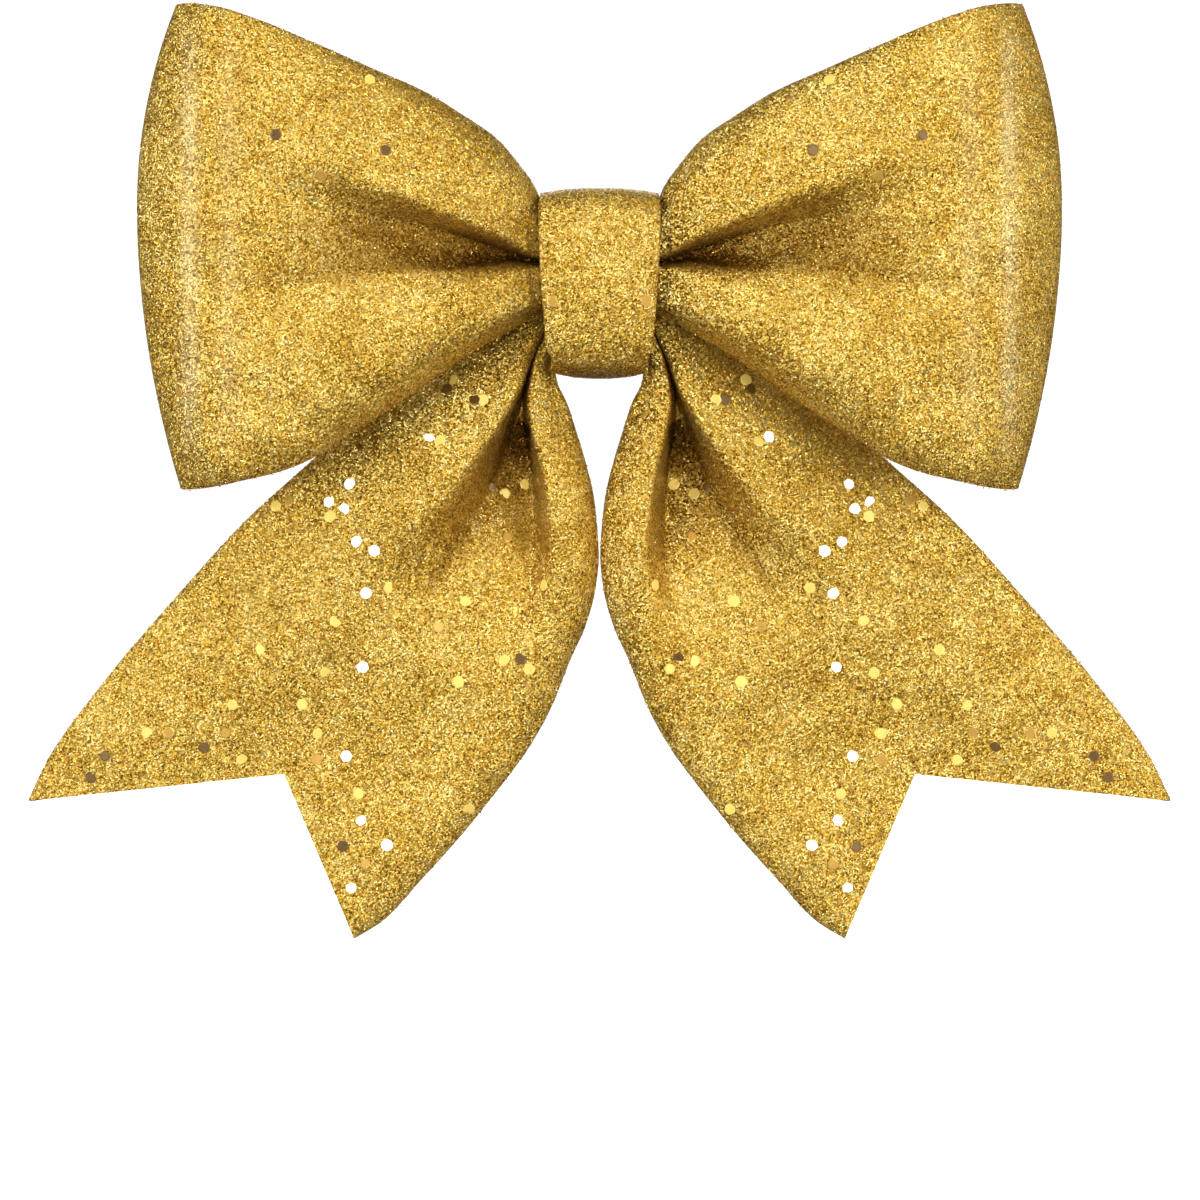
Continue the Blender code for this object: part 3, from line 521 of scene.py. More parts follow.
# -------------------------------------------------------------------- meshes
def make_mesh(name, verts, faces, materials, uvs=None, smooth=True):
    data = bpy.data.meshes.new(name)
    verts = np.asarray(verts, np.float32).reshape(-1, 3)
    faces = np.asarray(faces, np.int32)
    per = faces.shape[1]
    data.vertices.add(len(verts))
    data.vertices.foreach_set("co", verts.ravel())
    data.loops.add(faces.size)
    data.loops.foreach_set("vertex_index", faces.ravel())
    data.polygons.add(len(faces))
    data.polygons.foreach_set("loop_start", np.arange(0, faces.size, per, dtype=np.int32))
    data.polygons.foreach_set("use_smooth", np.full(len(faces), smooth))
    for mat in materials:
        data.materials.append(mat)
    data.update(calc_edges=True)
    if uvs is not None:
        layer = data.uv_layers.new(name="weave")
        layer.data.foreach_set("uv", np.asarray(uvs, np.float32)[faces.ravel()].ravel())
    data.validate()
    obj = bpy.data.objects.new(name, data)
    bpy.context.collection.objects.link(obj)
    return obj


def ply(name, points, normals, low, high, mat, closed=False, rounded=True):
    """One ply of ribbon as a closed solid between two offsets of its middle
    surface, with a rounded rim on its cut edges."""
    rows, cols = points.shape[:2]
    along_ = lengths(points, 0)[:, cols // 2]
    across = lengths(points, 1)
    outer = points + normals * high
    inner = points + normals * low
    verts, uvs = [], []
    # Round the cross-section: outer face, rim, inner face, rim.
    half = (high - low) / 2
    mid = points + normals * (high + low) / 2
    edge_a = points[:, 0] - points[:, 1]
    edge_a /= np.linalg.norm(edge_a, axis=-1, keepdims=True)
    edge_b = points[:, -1] - points[:, -2]
    edge_b /= np.linalg.norm(edge_b, axis=-1, keepdims=True)
    rim_a = mid[:, 0] + edge_a * half * (0.8 if rounded else 0)
    rim_b = mid[:, -1] + edge_b * half * (0.8 if rounded else 0)
    section = np.concatenate([outer, rim_b[:, None], inner[:, ::-1], rim_a[:, None]], 1)
    count = section.shape[1]
    u = np.repeat(along_[:, None], count, 1)
    w = np.concatenate([across, across[:, -1:], across[:, ::-1], across[:, :1]], 1)
    uv = np.stack([u, w], -1)
    i, j = np.meshgrid(np.arange(rows if closed else rows - 1), np.arange(count), indexing="ij")
    n = (i + 1) % rows
    k = (j + 1) % count
    faces = np.stack([i * count + j, n * count + j, n * count + k, i * count + k], -1).reshape(-1, 4)
    verts = section.reshape(-1, 3)
    uvs = uv.reshape(-1, 2)
    if not closed:
        # Close both cut ends, quad by quad between the two faces.
        caps = []
        for row, flip in ((0, False), (rows - 1, True)):
            base = row * count
            for c in range(cols - 1):
                a, b = base + c, base + c + 1
                d, e = base + 2 * cols - c, base + 2 * cols - c - 1
                quad = [a, b, e, d] if flip else [a, d, e, b]
                caps.append(quad)
            # the small holes left at the two rims are filled below
        faces = np.concatenate([faces, np.asarray(caps)], 0)
    obj = make_mesh(name, verts, faces, [mat], uvs)
    work = bmesh.new()
    work.from_mesh(obj.data)
    if not closed:
        work.edges.ensure_lookup_table()
        open_edges = [e for e in work.edges if e.is_boundary]
        if open_edges:
            bmesh.ops.holes_fill(work, edges=open_edges, sides=4)
    bmesh.ops.recalc_face_normals(work, faces=work.faces)
    work.to_mesh(obj.data)
    work.free()
    for p in obj.data.polygons:
        p.use_smooth = True
    obj.data.set_sharp_from_angle(angle=math.radians(62))
    return obj


def hemisphere(count, seed):
    r = np.random.default_rng(seed)
    k_ = (np.arange(count) + 0.5) / count
    a_ = np.arange(count) * 2.399963 + r.uniform(0, 6)
    return np.stack([np.sqrt(k_) * np.cos(a_), np.sqrt(k_) * np.sin(a_), np.sqrt(1 - k_)], 1)


def grow(grid, rows, cols):
    """Resamples a coarse grid of values to rows x cols."""
    a_ = np.linspace(0, grid.shape[0] - 1, rows)
    b_ = np.linspace(0, grid.shape[1] - 1, cols)
    i_ = np.clip(a_.astype(int), 0, grid.shape[0] - 2)
    j_ = np.clip(b_.astype(int), 0, grid.shape[1] - 2)
    f_, h_ = (a_ - i_)[:, None], (b_ - j_)[None, :]
    return (
        grid[i_][:, j_] * (1 - f_) * (1 - h_) + grid[i_ + 1][:, j_] * f_ * (1 - h_)
        + grid[i_][:, j_ + 1] * (1 - f_) * h_ + grid[i_ + 1][:, j_ + 1] * f_ * h_
    )


def openness(points, normals, bvh, step=2, rays=30, reach=0.014, lift=0.00045):
    """Share of the sky over each point that no cloth hides."""
    rows, cols = points.shape[:2]
    i_ = np.unique(np.append(np.arange(0, rows, step), rows - 1))
    j_ = np.unique(np.append(np.arange(0, cols, step), cols - 1))
    grid = np.zeros((len(i_), len(j_)))
    dirs = hemisphere(rays, 5)
    for a_, i in enumerate(i_):
        for b_, j in enumerate(j_):
            n = normals[i, j]
            side = np.cross(n, (0.31, 0.2, 0.93))
            side /= np.linalg.norm(side)
            up = np.cross(n, side)
            world_dirs = dirs[:, :1] * side + dirs[:, 1:2] * up + dirs[:, 2:] * n
            start = Vector(points[i, j] + n * lift)
            hits = 0
            for d_ in world_dirs:
                if bvh.ray_cast(start, Vector(d_), reach)[0] is not None:
                    hits += 1
            grid[a_, b_] = 1 - hits / rays
    return grow(grid, rows, cols)


def set_openness(obj, values=None, cols=0, constant=0.5):
    """Stores it per vertex, in ply()'s order: outer face, rim, inner face, rim; the values become painted shade, and
    the inner face is painted no lighter than 0.7.
    """
    layer = obj.data.attributes.new("openness", "FLOAT", "POINT")
    if values is None:
        data = np.full(len(obj.data.vertices), constant, np.float32)
    else:
        data = np.concatenate([values, values[:, -1:], np.minimum(values[:, ::-1], 0.7), values[:, :1]], 1).ravel()
        if len(data) != len(obj.data.vertices):
            raise ValueError(f"{obj.name}: {len(data)} values for {len(obj.data.vertices)} points")
    layer.data.foreach_set("value", np.asarray(data, np.float32))


FINE = 1.0
# Loops: one closed band, left half then right half.
LS, LB = 170, 96
s = np.linspace(0, 1, LS + 1)
b = np.linspace(0, 1, LB + 1)
S, B = np.meshgrid(s, b, indexing="ij")
left = loop_surface(S, B)
right = left[-2:0:-1] * np.array([-1, 1, 1])
band = np.concatenate([left, right], 0)
band_n = grid_normals(band, closed=True)
# Outward: away from the loops' hollow.
probe = band_n[LS // 4, LB // 2]
if probe[1] > 0:
    band_n = -band_n

loops = ply("loop_ribbon_cloth", band, band_n, -0.25 * MM, 0.25 * MM, GLITTER, closed=True)
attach(loops, "bow")
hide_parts("loop_ribbon")

backing = ply("loop_lining_cloth", band, band_n, -0.85 * MM, -0.55 * MM, LINING, closed=True)
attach(backing, "bow")
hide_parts("loop_lining")

# Tails.
TU, TV = 120, 90
u = np.linspace(0, 1, TU + 1) ** 1.12
v = np.linspace(0, 1, TV + 1)
U, V = np.meshgrid(u, v, indexing="ij")
tail_left_points = tail_surface(U, V)
# The tails hang behind the knot, so they are cut a little larger than they look.
far = 1 + (tail_left_points[..., 1] / MM + 18) / 1042
tail_left_points[..., 0] *= far
tail_left_points[..., 2] = -0.0497 + (tail_left_points[..., 2] + 0.0497) * far
tail_points = {"left": tail_left_points}
tail_points["right"] = tail_points["left"] * np.array([-1, 1, 1])
tail_normals = {}
for side, pts in tail_points.items():
    n = grid_normals(pts)
    n = n * np.sign(-n[..., 1:2].mean())
    tail_normals[side] = n
for side, sign in (("left", -1), ("right", 1)):
    pts, n = tail_points[side], tail_normals[side]
    for name, node, low, high, mat, slot in (
        (f"tail_{side}_cloth", f"tail_{side}", -0.25, 0.25, GLITTER, "glitter_fabric"),
        (f"tail_lining_{side}_cloth", f"tail_lining_{side}", -0.85, -0.55, LINING, "lining_ribbon"),
    ):
        obj = ply(name, pts, n, low * MM, high * MM, mat)
        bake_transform(obj)
        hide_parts(node)

# ------------------------------------------------------- knot and its inside
def ring_curve(outline, count, start=0.0, stop=1.0):
    """Points and outward normals, in mm, along a closed outline of (y, z)."""
    p = np.asarray(outline, float)
    n = len(p)
    t = np.linspace(start, stop, count) * n
    i = np.floor(t).astype(int)
    f = (t - i)[:, None]
    a, b, c, d = (p[(i + k) % n] for k in (-1, 0, 1, 2))
    at = 0.5 * (2 * b + (c - a) * f + (2 * a - 5 * b + 4 * c - d) * f**2 + (3 * b - a - 3 * c + d) * f**3)
    slope = 0.5 * ((c - a) + 2 * (2 * a - 5 * b + 4 * c - d) * f + 3 * (3 * b - a - 3 * c + d) * f**2)
    slope /= np.linalg.norm(slope, axis=1, keepdims=True)
    out = np.stack([-slope[:, 1], slope[:, 0]], 1)
    centre = p.mean(0)
    flip = np.sign(((at - centre) * out).sum(1).sum())
    return at, out * flip


KNOT_OUTLINE = [
    (-4.5, 1.5), (-4.5, -1.5), (-4.5, -4.3), (-4.9, -5.1), (-6.1, -6.9), (-7.2, -9.6), (-8.3, -12.4),
    (-10.6, -14.3), (-14.5, -14.9), (-18.4, -14.7), (-21.6, -12.9), (-23.4, -9.6), (-24.3, -4.4),
    (-24.6, 1.0), (-24.5, 6.0), (-23.7, 10.6), (-21.0, 13.7), (-17.0, 14.7), (-13.7, 13.7),
    (-11.0, 11.0), (-8.7, 7.8), (-6.6, 5.7), (-4.9, 4.9), (-4.5, 4.3),
]
KNOT_HALF_WIDTH = [(-14.8, 7.1), (-13.3, 7.3), (-10.8, 8.1), (-8.4, 8.3), (-3.6, 8.75), (4.7, 9.15), (13.8, 9.25)]


def knot_rows(count, start, stop, across=26):
    at, out = ring_curve(KNOT_OUTLINE, count, start, stop)
    y, z = at[:, 0], at[:, 1]
    back = np.clip((y + 9.0) / 4.0, 0, 1)
    half = through(KNOT_HALF_WIDTH, z)
    half = half + (8.4 - half) * back
    share = np.linspace(-1, 1, across + 1)
    turns = np.linspace(start, stop, count)
    # The strip's last stretch laps over its first, behind the knot.
    lap = 0.95 * rise(0.975, 1.005, turns)
    crown = -0.75 * (1 - back)[:, None] * np.abs(share) ** 2.6
    wave = 0.10 * np.sin(turns * 71.0)[:, None] * np.abs(share) ** 3 + 0.12 * np.sin(turns * 40.0)[:, None] * (1 - share**2)
    shift = crown + wave * (1 - back)[:, None] + lap[:, None]
    nx = np.zeros_like(shift)
    points = np.stack(
        [share[None, :] * half[:, None] * (1 + 0.008 * np.sin(turns * 33.0)[:, None]), y[:, None] + out[:, :1] * shift, z[:, None] + out[:, 1:] * shift], -1
    )
    return points * MM


def outward_of(points, centre):
    n = grid_normals(points)
    away = points - np.asarray(centre)
    if (n * away).sum() < 0:
        n = -n
    return n


wrap_points = knot_rows(230, 0.0, 1.075)
wrap_normals = outward_of(wrap_points, (0, -0.0145, 0))
wrap = ply("knot_wrap_cloth", wrap_points, wrap_normals, -0.75 * MM, 0.0, GLITTER)
wrap_length = float(lengths(wrap_points, 0)[-1].mean())
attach(wrap, "bow")
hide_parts("knot_wrap")

# The tails' ribbon bunched inside the knot.
FOLDS, PER = 18, 7
k = np.arange(FOLDS * PER + 1)
phase = k / PER
zig = np.abs((phase % 2) - 1)
zig = zig * zig * (3 - 2 * zig) * 0.35 + zig * 0.65
gy = -12.65 + 3.0 * zig
gz = -12.0 + 14.0 * k / k[-1]
gx = np.linspace(-8.6, 8.6, 17)
GX, GK = np.meshgrid(gx, k, indexing="ij")
gather_points = np.stack([GX, gy[GK] + 0.12 * np.sin(GX * 0.9 + GK * 0.3), -5.0 + (gz[GK] + 5.0) * (0.93 + 0.05 * (GX / 8.6) ** 2)], -1) * MM
gather = ply("tail_gather_cloth", gather_points, grid_normals(gather_points), -0.2 * MM, 0.2 * MM, GLITTER)
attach(gather, "bow")
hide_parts("tail_gather")


def tube(name, path, radius, mat, sides=8, taper=True):
    """Round wire or thread along a path, closed at both ends."""
    path = np.asarray(path, float)
    tangent = np.gradient(path, axis=0)
    tangent /= np.linalg.norm(tangent, axis=1, keepdims=True)
    side = np.cross(tangent[0], (0, 0, 1.0))
    if np.linalg.norm(side) < 1e-3:
        side = np.cross(tangent[0], (1.0, 0, 0))
    verts = []
    for p, d in zip(path, tangent):
        side = side - d * side.dot(d)
        side /= np.linalg.norm(side)
        up = np.cross(d, side)
        a = np.arange(sides) * 2 * math.pi / sides
        verts.append(p + radius * (np.cos(a)[:, None] * side + np.sin(a)[:, None] * up))
    count = len(path)
    faces = []
    for i in range(count - 1):
        for j in range(sides):
            m = (j + 1) % sides
            faces.append((i * sides + j, i * sides + m, (i + 1) * sides + m, (i + 1) * sides + j))
    obj = make_mesh(name, np.concatenate(verts), faces, [mat])
    work = bmesh.new()
    work.from_mesh(obj.data)
    bmesh.ops.holes_fill(work, edges=[e for e in work.edges if e.is_boundary], sides=sides)
    bmesh.ops.recalc_face_normals(work, faces=work.faces)
    work.to_mesh(obj.data)
    work.free()
    for f in obj.data.polygons:
        f.use_smooth = True
    obj.data.set_sharp_from_angle(angle=math.radians(50))
    return obj


THREAD_OUTLINE = [
    (-20.5, 9.5), (-18.6, 11.6), (-15.8, 12.1), (-13.4, 11.7), (-11.6, 8.6), (-9.7, 4.6), (-9.0, 2.8),
    (-8.7, 0.6), (-8.7, -4.4), (-8.7, -8.8), (-9.4, -11.0), (-11.4, -13.1), (-13.4, -13.4),
    (-16.4, -10.0), (-20.0, -5.2), (-21.2, -3.6), (-21.6, 0.0), (-21.6, 4.6), (-21.3, 7.6),
]
TURNS = 7
at, out = ring_curve(THREAD_OUTLINE, TURNS * 64, 0.0, float(TURNS))
inset = 0.35 + 0.12 * np.sin(np.arange(len(at)) * 0.37)
path = np.stack([np.linspace(-1.35, 1.35, len(at)), at[:, 0] - out[:, 0] * inset, at[:, 1] - out[:, 1] * inset], 1) * MM
thread = tube("binding_thread_winding", path, 0.19 * MM, THREAD, 7)
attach(thread, "bow")
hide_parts("binding_thread")


def pillow(name, low, high, mat, seed, swell=0.00015, power=7.0, count=(40, 12, 24)):
    """Rounded block with an uneven skin, such as squeezed-out glue or a
    stuck-down strip."""
    nx, ny, nz = count
    low, high = np.asarray(low, float), np.asarray(high, float)
    centre, half = (low + high) / 2, (high - low) / 2
    work = bmesh.new()
    bmesh.ops.create_cube(work, size=2.0)
    bmesh.ops.subdivide_edges(work, edges=work.edges[:], cuts=14, use_grid_fill=True)
    for vert in work.verts:
        c = np.array(vert.co)
        m = np.abs(c).max()
        if m > 1e-9:
            c = c / (np.sum(np.abs(c) ** power) ** (1 / power)) * m
        c = c / max(1.0, np.abs(c).max())
        place = centre + half * c
        n = c / np.linalg.norm(c)
        place = place + n * swell * ripple(place[None] * 1.0, seed, 0.004)[0]
        vert.co = np.clip(place, low - swell, high + swell)
    bmesh.ops.recalc_face_normals(work, faces=work.faces)
    data = bpy.data.meshes.new(name)
    work.to_mesh(data)
    work.free()
    data.materials.append(mat)
    for f in data.polygons:
        f.use_smooth = True
    obj = bpy.data.objects.new(name, data)
    bpy.context.collection.objects.link(obj)
    return obj


glue = pillow("glue_bead", (-0.0079, -0.0084, -0.0036), (0.0079, -0.0076, 0.0036), GLUE, 61, 0.00010)
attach(glue, "bow")
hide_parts("clip_glue")

# Grosgrain strip stuck inside the clip's upper jaw.
lx = np.linspace(-22.0, 9.6, 90)
lz = np.linspace(-3.7, 3.7, 15)
LX, LZ = np.meshgrid(lx, lz, indexing="ij")
ly = -5.9 + 0.03 * np.sin(LX * 1.3) + 0.03 * np.sin(LX * 0.37 + LZ)
liner_points = np.stack([LX, ly, LZ + 0.05 * np.sin(LX * 0.8) * np.sign(LZ)], -1) * MM
liner = ply("clip_liner_strip", liner_points, grid_normals(liner_points), -0.25 * MM, 0.25 * MM, LINING)
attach(liner, "bow")
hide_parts("clip_liner")

# Torsion spring: coil round the pin, one leg under each lever.
PIN_X, PIN_Y = 14.0, -3.9
route = [np.array((22.5, -5.85, -1.3))]
steps = 3 * 28 + 14
for i in range(steps + 1):
    a = -math.pi / 2 - 2 * math.pi * i / 28
    route.append(np.array((PIN_X + 1.35 * math.cos(a), PIN_Y + 1.35 * math.sin(a), -1.3 + 2.6 * i / steps)))
route.append(np.array((22.0, 1.8, 1.3)))
first = [route[0] + (route[1] - route[0]) * f for f in np.linspace(0, 1, 14)[:-1]]
last = [route[-2] + (route[-1] - route[-2]) * f for f in np.linspace(0, 1, 14)[1:]]
spring = tube("clip_spring_wire", np.array(first + route[1:-1] + last) * MM, 0.3 * MM, STEEL, 10)
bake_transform(spring)
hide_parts("clip_spring")

for node in ("clip_top_jaw", "clip_bottom_jaw", "clip_pin"):
    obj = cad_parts[node]
    obj.data.materials.clear()
    obj.data.materials.append(STEEL)
    bevel = obj.modifiers.new("rolled_edge", "BEVEL")
    bevel.width = 0.00012
    bevel.segments = 2
    bevel.limit_method = "ANGLE"
    bevel.angle_limit = math.radians(35)

# ------------------------------------------------------- light in the folds
def tree_of(*objects):
    verts, faces, owner, base = [], [], [], 0
    for obj in objects:
        data = obj.data
        co = np.empty(len(data.vertices) * 3)
        data.vertices.foreach_get("co", co)
        verts += [tuple(v_) for v_ in co.reshape(-1, 3)]
        for f in data.polygons:
            faces.append([base + k_ for k_ in f.vertices])
            owner.append(obj.name)
        base += len(data.vertices)
    return BVHTree.FromPolygons(verts, faces), owner


tail_cloth = {side: bpy.data.objects[f"tail_{side}_cloth"] for side in ("left", "right")}
cloths = [loops, wrap, tail_cloth["left"], tail_cloth["right"]]
cloth_tree, cloth_owner = tree_of(*cloths)
STEP = 2
# Painted shade for the loops: the share of sky each point sees past the cloth, eased, then stored for the glitter's
# colour.
open_left = openness(left, band_n[: LS + 1], cloth_tree, STEP)
from_knot = -left[..., 0] / MM
high = left[..., 2] / MM
front_half = 1 - rise(0.42, 0.62, S)
open_left = open_left ** 0.25
# The pleat is a wedge: two edges that meet at the knot, with painted shade inside them, darkest near the knot.
top_edge = through([(9.0, 3.5), (10.9, 4.1), (13.2, 4.9), (15.5, 5.8), (18.7, 7.0), (21.8, 7.9), (25.0, 8.5), (28.0, 9.0), (31.2, 9.7), (35.9, 11.2), (42.0, 12.0), (56.0, 12.4)], from_knot)
low_edge = through([(9.0, 2.8), (13.2, 2.8), (15.5, 2.5), (18.7, 1.9), (21.8, 1.3), (28.0, 1.0), (31.2, 0.8), (35.9, 0.0), (40.6, -1.2), (56.0, -3.0)], from_knot)
blur = through([(9.0, 0.45), (15.5, 0.8), (25.0, 1.3), (34.0, 2.4), (56.0, 5.0)], from_knot)
in_wedge = rise(-1, 1, (top_edge - high) / blur) * rise(-1, 1, (high - low_edge) / (0.7 * blur)) * front_half
dark = through([(9.0, 0.12), (12.0, 0.19), (15.5, 0.26), (18.7, 0.33), (21.8, 0.41), (25.0, 0.46), (28.0, 0.47), (31.2, 0.48), (35.9, 0.52), (40.6, 0.59), (46.8, 0.68), (53.0, 0.78), (60.0, 0.9)], from_knot)
open_left = open_left * (1 - in_wedge) + np.minimum(dark, 1) * in_wedge
band_open = np.concatenate([open_left, open_left[-2:0:-1]], 0)
set_openness(loops, band_open)
# Painted shade for the tails, from the same share of open sky.
tail_open = openness(tail_points["left"], tail_normals["left"], cloth_tree, STEP)
tail_open = tail_open ** 0.2
# Painted shade in the fold between the tail's two panels, darkest under the knot.
across, down = -tail_points["left"][..., 0] / MM, -tail_points["left"][..., 2] / MM
fall = [20.8, 23.1, 26.3, 30.9, 35.6, 41.9, 49.7, 56.0]
wall_out = through(list(zip(fall, (12.9, 14.0, 15.4, 17.8, 20.8, 24.9, 29.7, 33.5))), down)
wall_in = through(list(zip(fall, (12.4, 10.5, 10.6, 9.6, 8.5, 8.0, 8.5, 9.0))), down)
blur = through([(20.8, 0.3), (26.0, 0.7), (35.0, 1.8), (56.0, 4.0)], down)
in_fold = rise(-1, 1, (wall_out - across) / blur) * rise(-1, 1, (across - wall_in) / (0.6 * blur)) * rise(20.0, 21.6, down)
dark = through([(20.8, 0.16), (24.0, 0.21), (27.0, 0.33), (31.0, 0.52), (35.6, 0.64), (42.0, 0.74), (50.0, 0.9)], down)
# Painted dark streak along the fold's outer wall, as shade.
crease = 0.34 * np.exp(-(((across - wall_out + 0.5 * blur) / (0.8 + 0.4 * blur)) ** 2)) * rise(32, 42, down) * (1 - rise(44, 56, down))
tail_open = (tail_open * (1 - in_fold) + np.minimum(dark, 1) * in_fold) * (1 - crease)
for side in ("left", "right"):
    set_openness(tail_cloth[side], tail_open)
wrap_open = openness(wrap_points, wrap_normals, cloth_tree, STEP * 2, lift=0.0002)
# Painted shade: the knot is held light, then darkened along its underside, where it turns down and away from the light.
under = rise(11.0, 14.6, -wrap_points[..., 2] / MM) * (wrap_points[..., 1] < -0.012)
wrap_open = np.maximum(wrap_open, 0.85) * (1 - 0.48 * under)
set_openness(wrap, wrap_open)
# Painted highlight strips: a bright one near each loop's outer roll and a fainter one just inside it, on the front face
# only.
painted_highlight_left = (1 - rise(0.42, 0.62, S)) * (
    0.55 * np.exp(-(((from_knot - 63.6) / 1.3) ** 2)) + 0.2 * np.exp(-(((from_knot - 57.5) / 1.6) ** 2))
) * rise(0.02, 0.16, B) * (1 - rise(0.86, 0.99, B)) * (0.8 + 0.2 * np.sin(left[..., 2] / MM * 0.35))
painted_highlight = np.concatenate([painted_highlight_left, painted_highlight_left[-2:0:-1]], 0)
layer = loops.data.attributes.new("painted_highlight", "FLOAT", "POINT")
layer.data.foreach_set("value", np.concatenate([painted_highlight, painted_highlight[:, -1:], painted_highlight[:, ::-1] * 0, painted_highlight[:, :1]], 1).ravel().astype(np.float32))
# The ribbon bunched inside the knot is painted an even half shade.
set_openness(gather)

# -------------------------------------------------------------- glitter flakes
def scatter(points, normals, count, seed, lift, edge_bias=0.0, closed=False, skip=None, openness_=None):
    """Places and frames of loose flakes on a grid surface."""
    r = np.random.default_rng(seed)
    if closed:
        points = np.concatenate([points, points[:1]], 0)
        normals = np.concatenate([normals, normals[:1]], 0)
        if openness_ is not None:
            openness_ = np.concatenate([openness_, openness_[:1]], 0)
    a = points[1:, :-1] - points[:-1, :-1]
    b = points[:-1, 1:] - points[:-1, :-1]
    area = np.linalg.norm(np.cross(a, b), axis=-1)
    if edge_bias:
        w = np.zeros(area.shape[1])
        w[:1] = w[-1:] = edge_bias
        area = area * (1 + w[None, :])
    pick = r.choice(area.size, count, p=(area / area.sum()).ravel())
    i, j = np.unravel_index(pick, area.shape)
    f, g_ = r.random(count)[:, None], r.random(count)[:, None]
    p = (
        points[i, j] * (1 - f) * (1 - g_) + points[i + 1, j] * f * (1 - g_)
        + points[i, j + 1] * (1 - f) * g_ + points[i + 1, j + 1] * f * g_
    )
    n = normals[i, j]
    if openness_ is not None:
        # Fewer flakes are kept where the openness is low, deep in the folds, so the folds read darker, as in shade.
        keep = r.random(count) < 0.55 + 0.45 * rise(0.1, 0.7, openness_[i, j])
        p, n = p[keep], n[keep]
    if skip is not None:
        keep = ~skip(p)
        p, n = p[keep], n[keep]
    return p + n * lift, n, r


def flakes(p, n, r, tilt=0.26, small=0.11, large=0.19):
    """Thin closed lozenges: four corners, and a crown on each side."""
    count = len(p)
    lean = n + tilt * r.normal(size=(count, 3))
    lean /= np.linalg.norm(lean, axis=1, keepdims=True)
    spin = r.normal(size=(count, 3))
    u_ = np.cross(lean, spin)
    u_ /= np.linalg.norm(u_, axis=1, keepdims=True)
    w_ = np.cross(lean, u_)
    size = r.uniform(small, large, (count, 1)) * MM
    thick = 0.035 * MM
    corners = [p + u_ * size, p + w_ * size * r.uniform(0.7, 1.0, (count, 1)), p - u_ * size, p - w_ * size * r.uniform(0.7, 1.0, (count, 1))]
    verts = np.stack(corners + [p + lean * thick, p - lean * thick], 1).reshape(-1, 3)
    base = np.arange(count)[:, None] * 6
    tri = np.array([(0, 1, 4), (1, 2, 4), (2, 3, 4), (3, 0, 4), (1, 0, 5), (2, 1, 5), (3, 2, 5), (0, 3, 5)])
    faces = (base[:, :, None] + tri[None]).reshape(-1, 3)
    tone = np.repeat(np.clip(r.beta(1.5, 1.3, count), 0, 1), 6)
    return verts, faces, tone


def behind_knot(p):
    return (np.abs(p[:, 0]) < 0.0086) & (p[:, 2] < 0.0145) & (p[:, 2] > -0.0145)


def fuzz(points, normals, per_mm, seed, closed=False):
    """Flakes that stand out past a cloth's two cut edges."""
    r = np.random.default_rng(seed)
    if closed:
        points = np.concatenate([points, points[:1]], 0)
        normals = np.concatenate([normals, normals[:1]], 0)
    spots, facing = [], []
    for edge, inside in ((0, 1), (-1, -2)):
        line, n = points[:, edge], normals[:, edge]
        outwards = line - points[:, inside]
        outwards /= np.linalg.norm(outwards, axis=1, keepdims=True)
        steps = np.linalg.norm(np.diff(line, axis=0), axis=1)
        count = int(steps.sum() / MM * per_mm)
        i = r.choice(len(steps), count, p=steps / steps.sum())
        f = r.random((count, 1))
        place = line[i] * (1 - f) + line[i + 1] * f
        place = place + outwards[i] * r.uniform(-0.25, 0.30, (count, 1)) * MM + n[i] * r.uniform(-0.30, 0.30, (count, 1)) * MM
        spots.append(place)
        facing.append(n[i] + 0.8 * outwards[i] * r.random((count, 1)))
    p, n = np.concatenate(spots), np.concatenate(facing)
    n /= np.linalg.norm(n, axis=1, keepdims=True)
    keep = ~behind_knot(p)
    return p[keep], n[keep], r


def flake_piece(name, groups):
    verts, faces, tones, base = [], [], [], 0
    for v_, f_, t_ in groups:
        verts.append(v_)
        faces.append(f_ + base)
        tones.append(t_)
        base += len(v_)
    obj = make_mesh(name, np.concatenate(verts), np.concatenate(faces), [FLAKE], smooth=False)
    layer = obj.data.attributes.new("tone", "FLOAT", "POINT")
    layer.data.foreach_set("value", np.concatenate(tones).astype(np.float32))
    return obj


LIFT = 0.27 * MM
groups = []
p, n, r = scatter(band, band_n, 20500, 71, LIFT, closed=True, edge_bias=9.0, skip=behind_knot, openness_=band_open)
groups.append(flakes(p, n, r))
p, n, r = fuzz(band, band_n, 2.6, 81, closed=True)
groups.append(flakes(p, n, r, 0.5, 0.12, 0.22))
p, n, r = scatter(wrap_points, wrap_normals, 3200, 72, 0.02 * MM, edge_bias=4.0)
groups.append(flakes(p, n, r))
bow_flakes = flake_piece("glitter_flakes_bow", groups)
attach(bow_flakes, "bow")
tail_flakes = {}
for side, seed in (("left", 73), ("right", 74)):
    p, n, r = scatter(tail_points[side], tail_normals[side], 11000, seed, LIFT, edge_bias=8.0, skip=behind_knot, openness_=tail_open)
    tail_groups = [flakes(p, n, r)]
    p, n, r = fuzz(tail_points[side], tail_normals[side], 2.6, seed + 10)
    tail_groups.append(flakes(p, n, r, 0.5, 0.12, 0.22))
    tail_flakes[side] = flake_piece(f"glitter_flakes_tail_{side}", tail_groups)

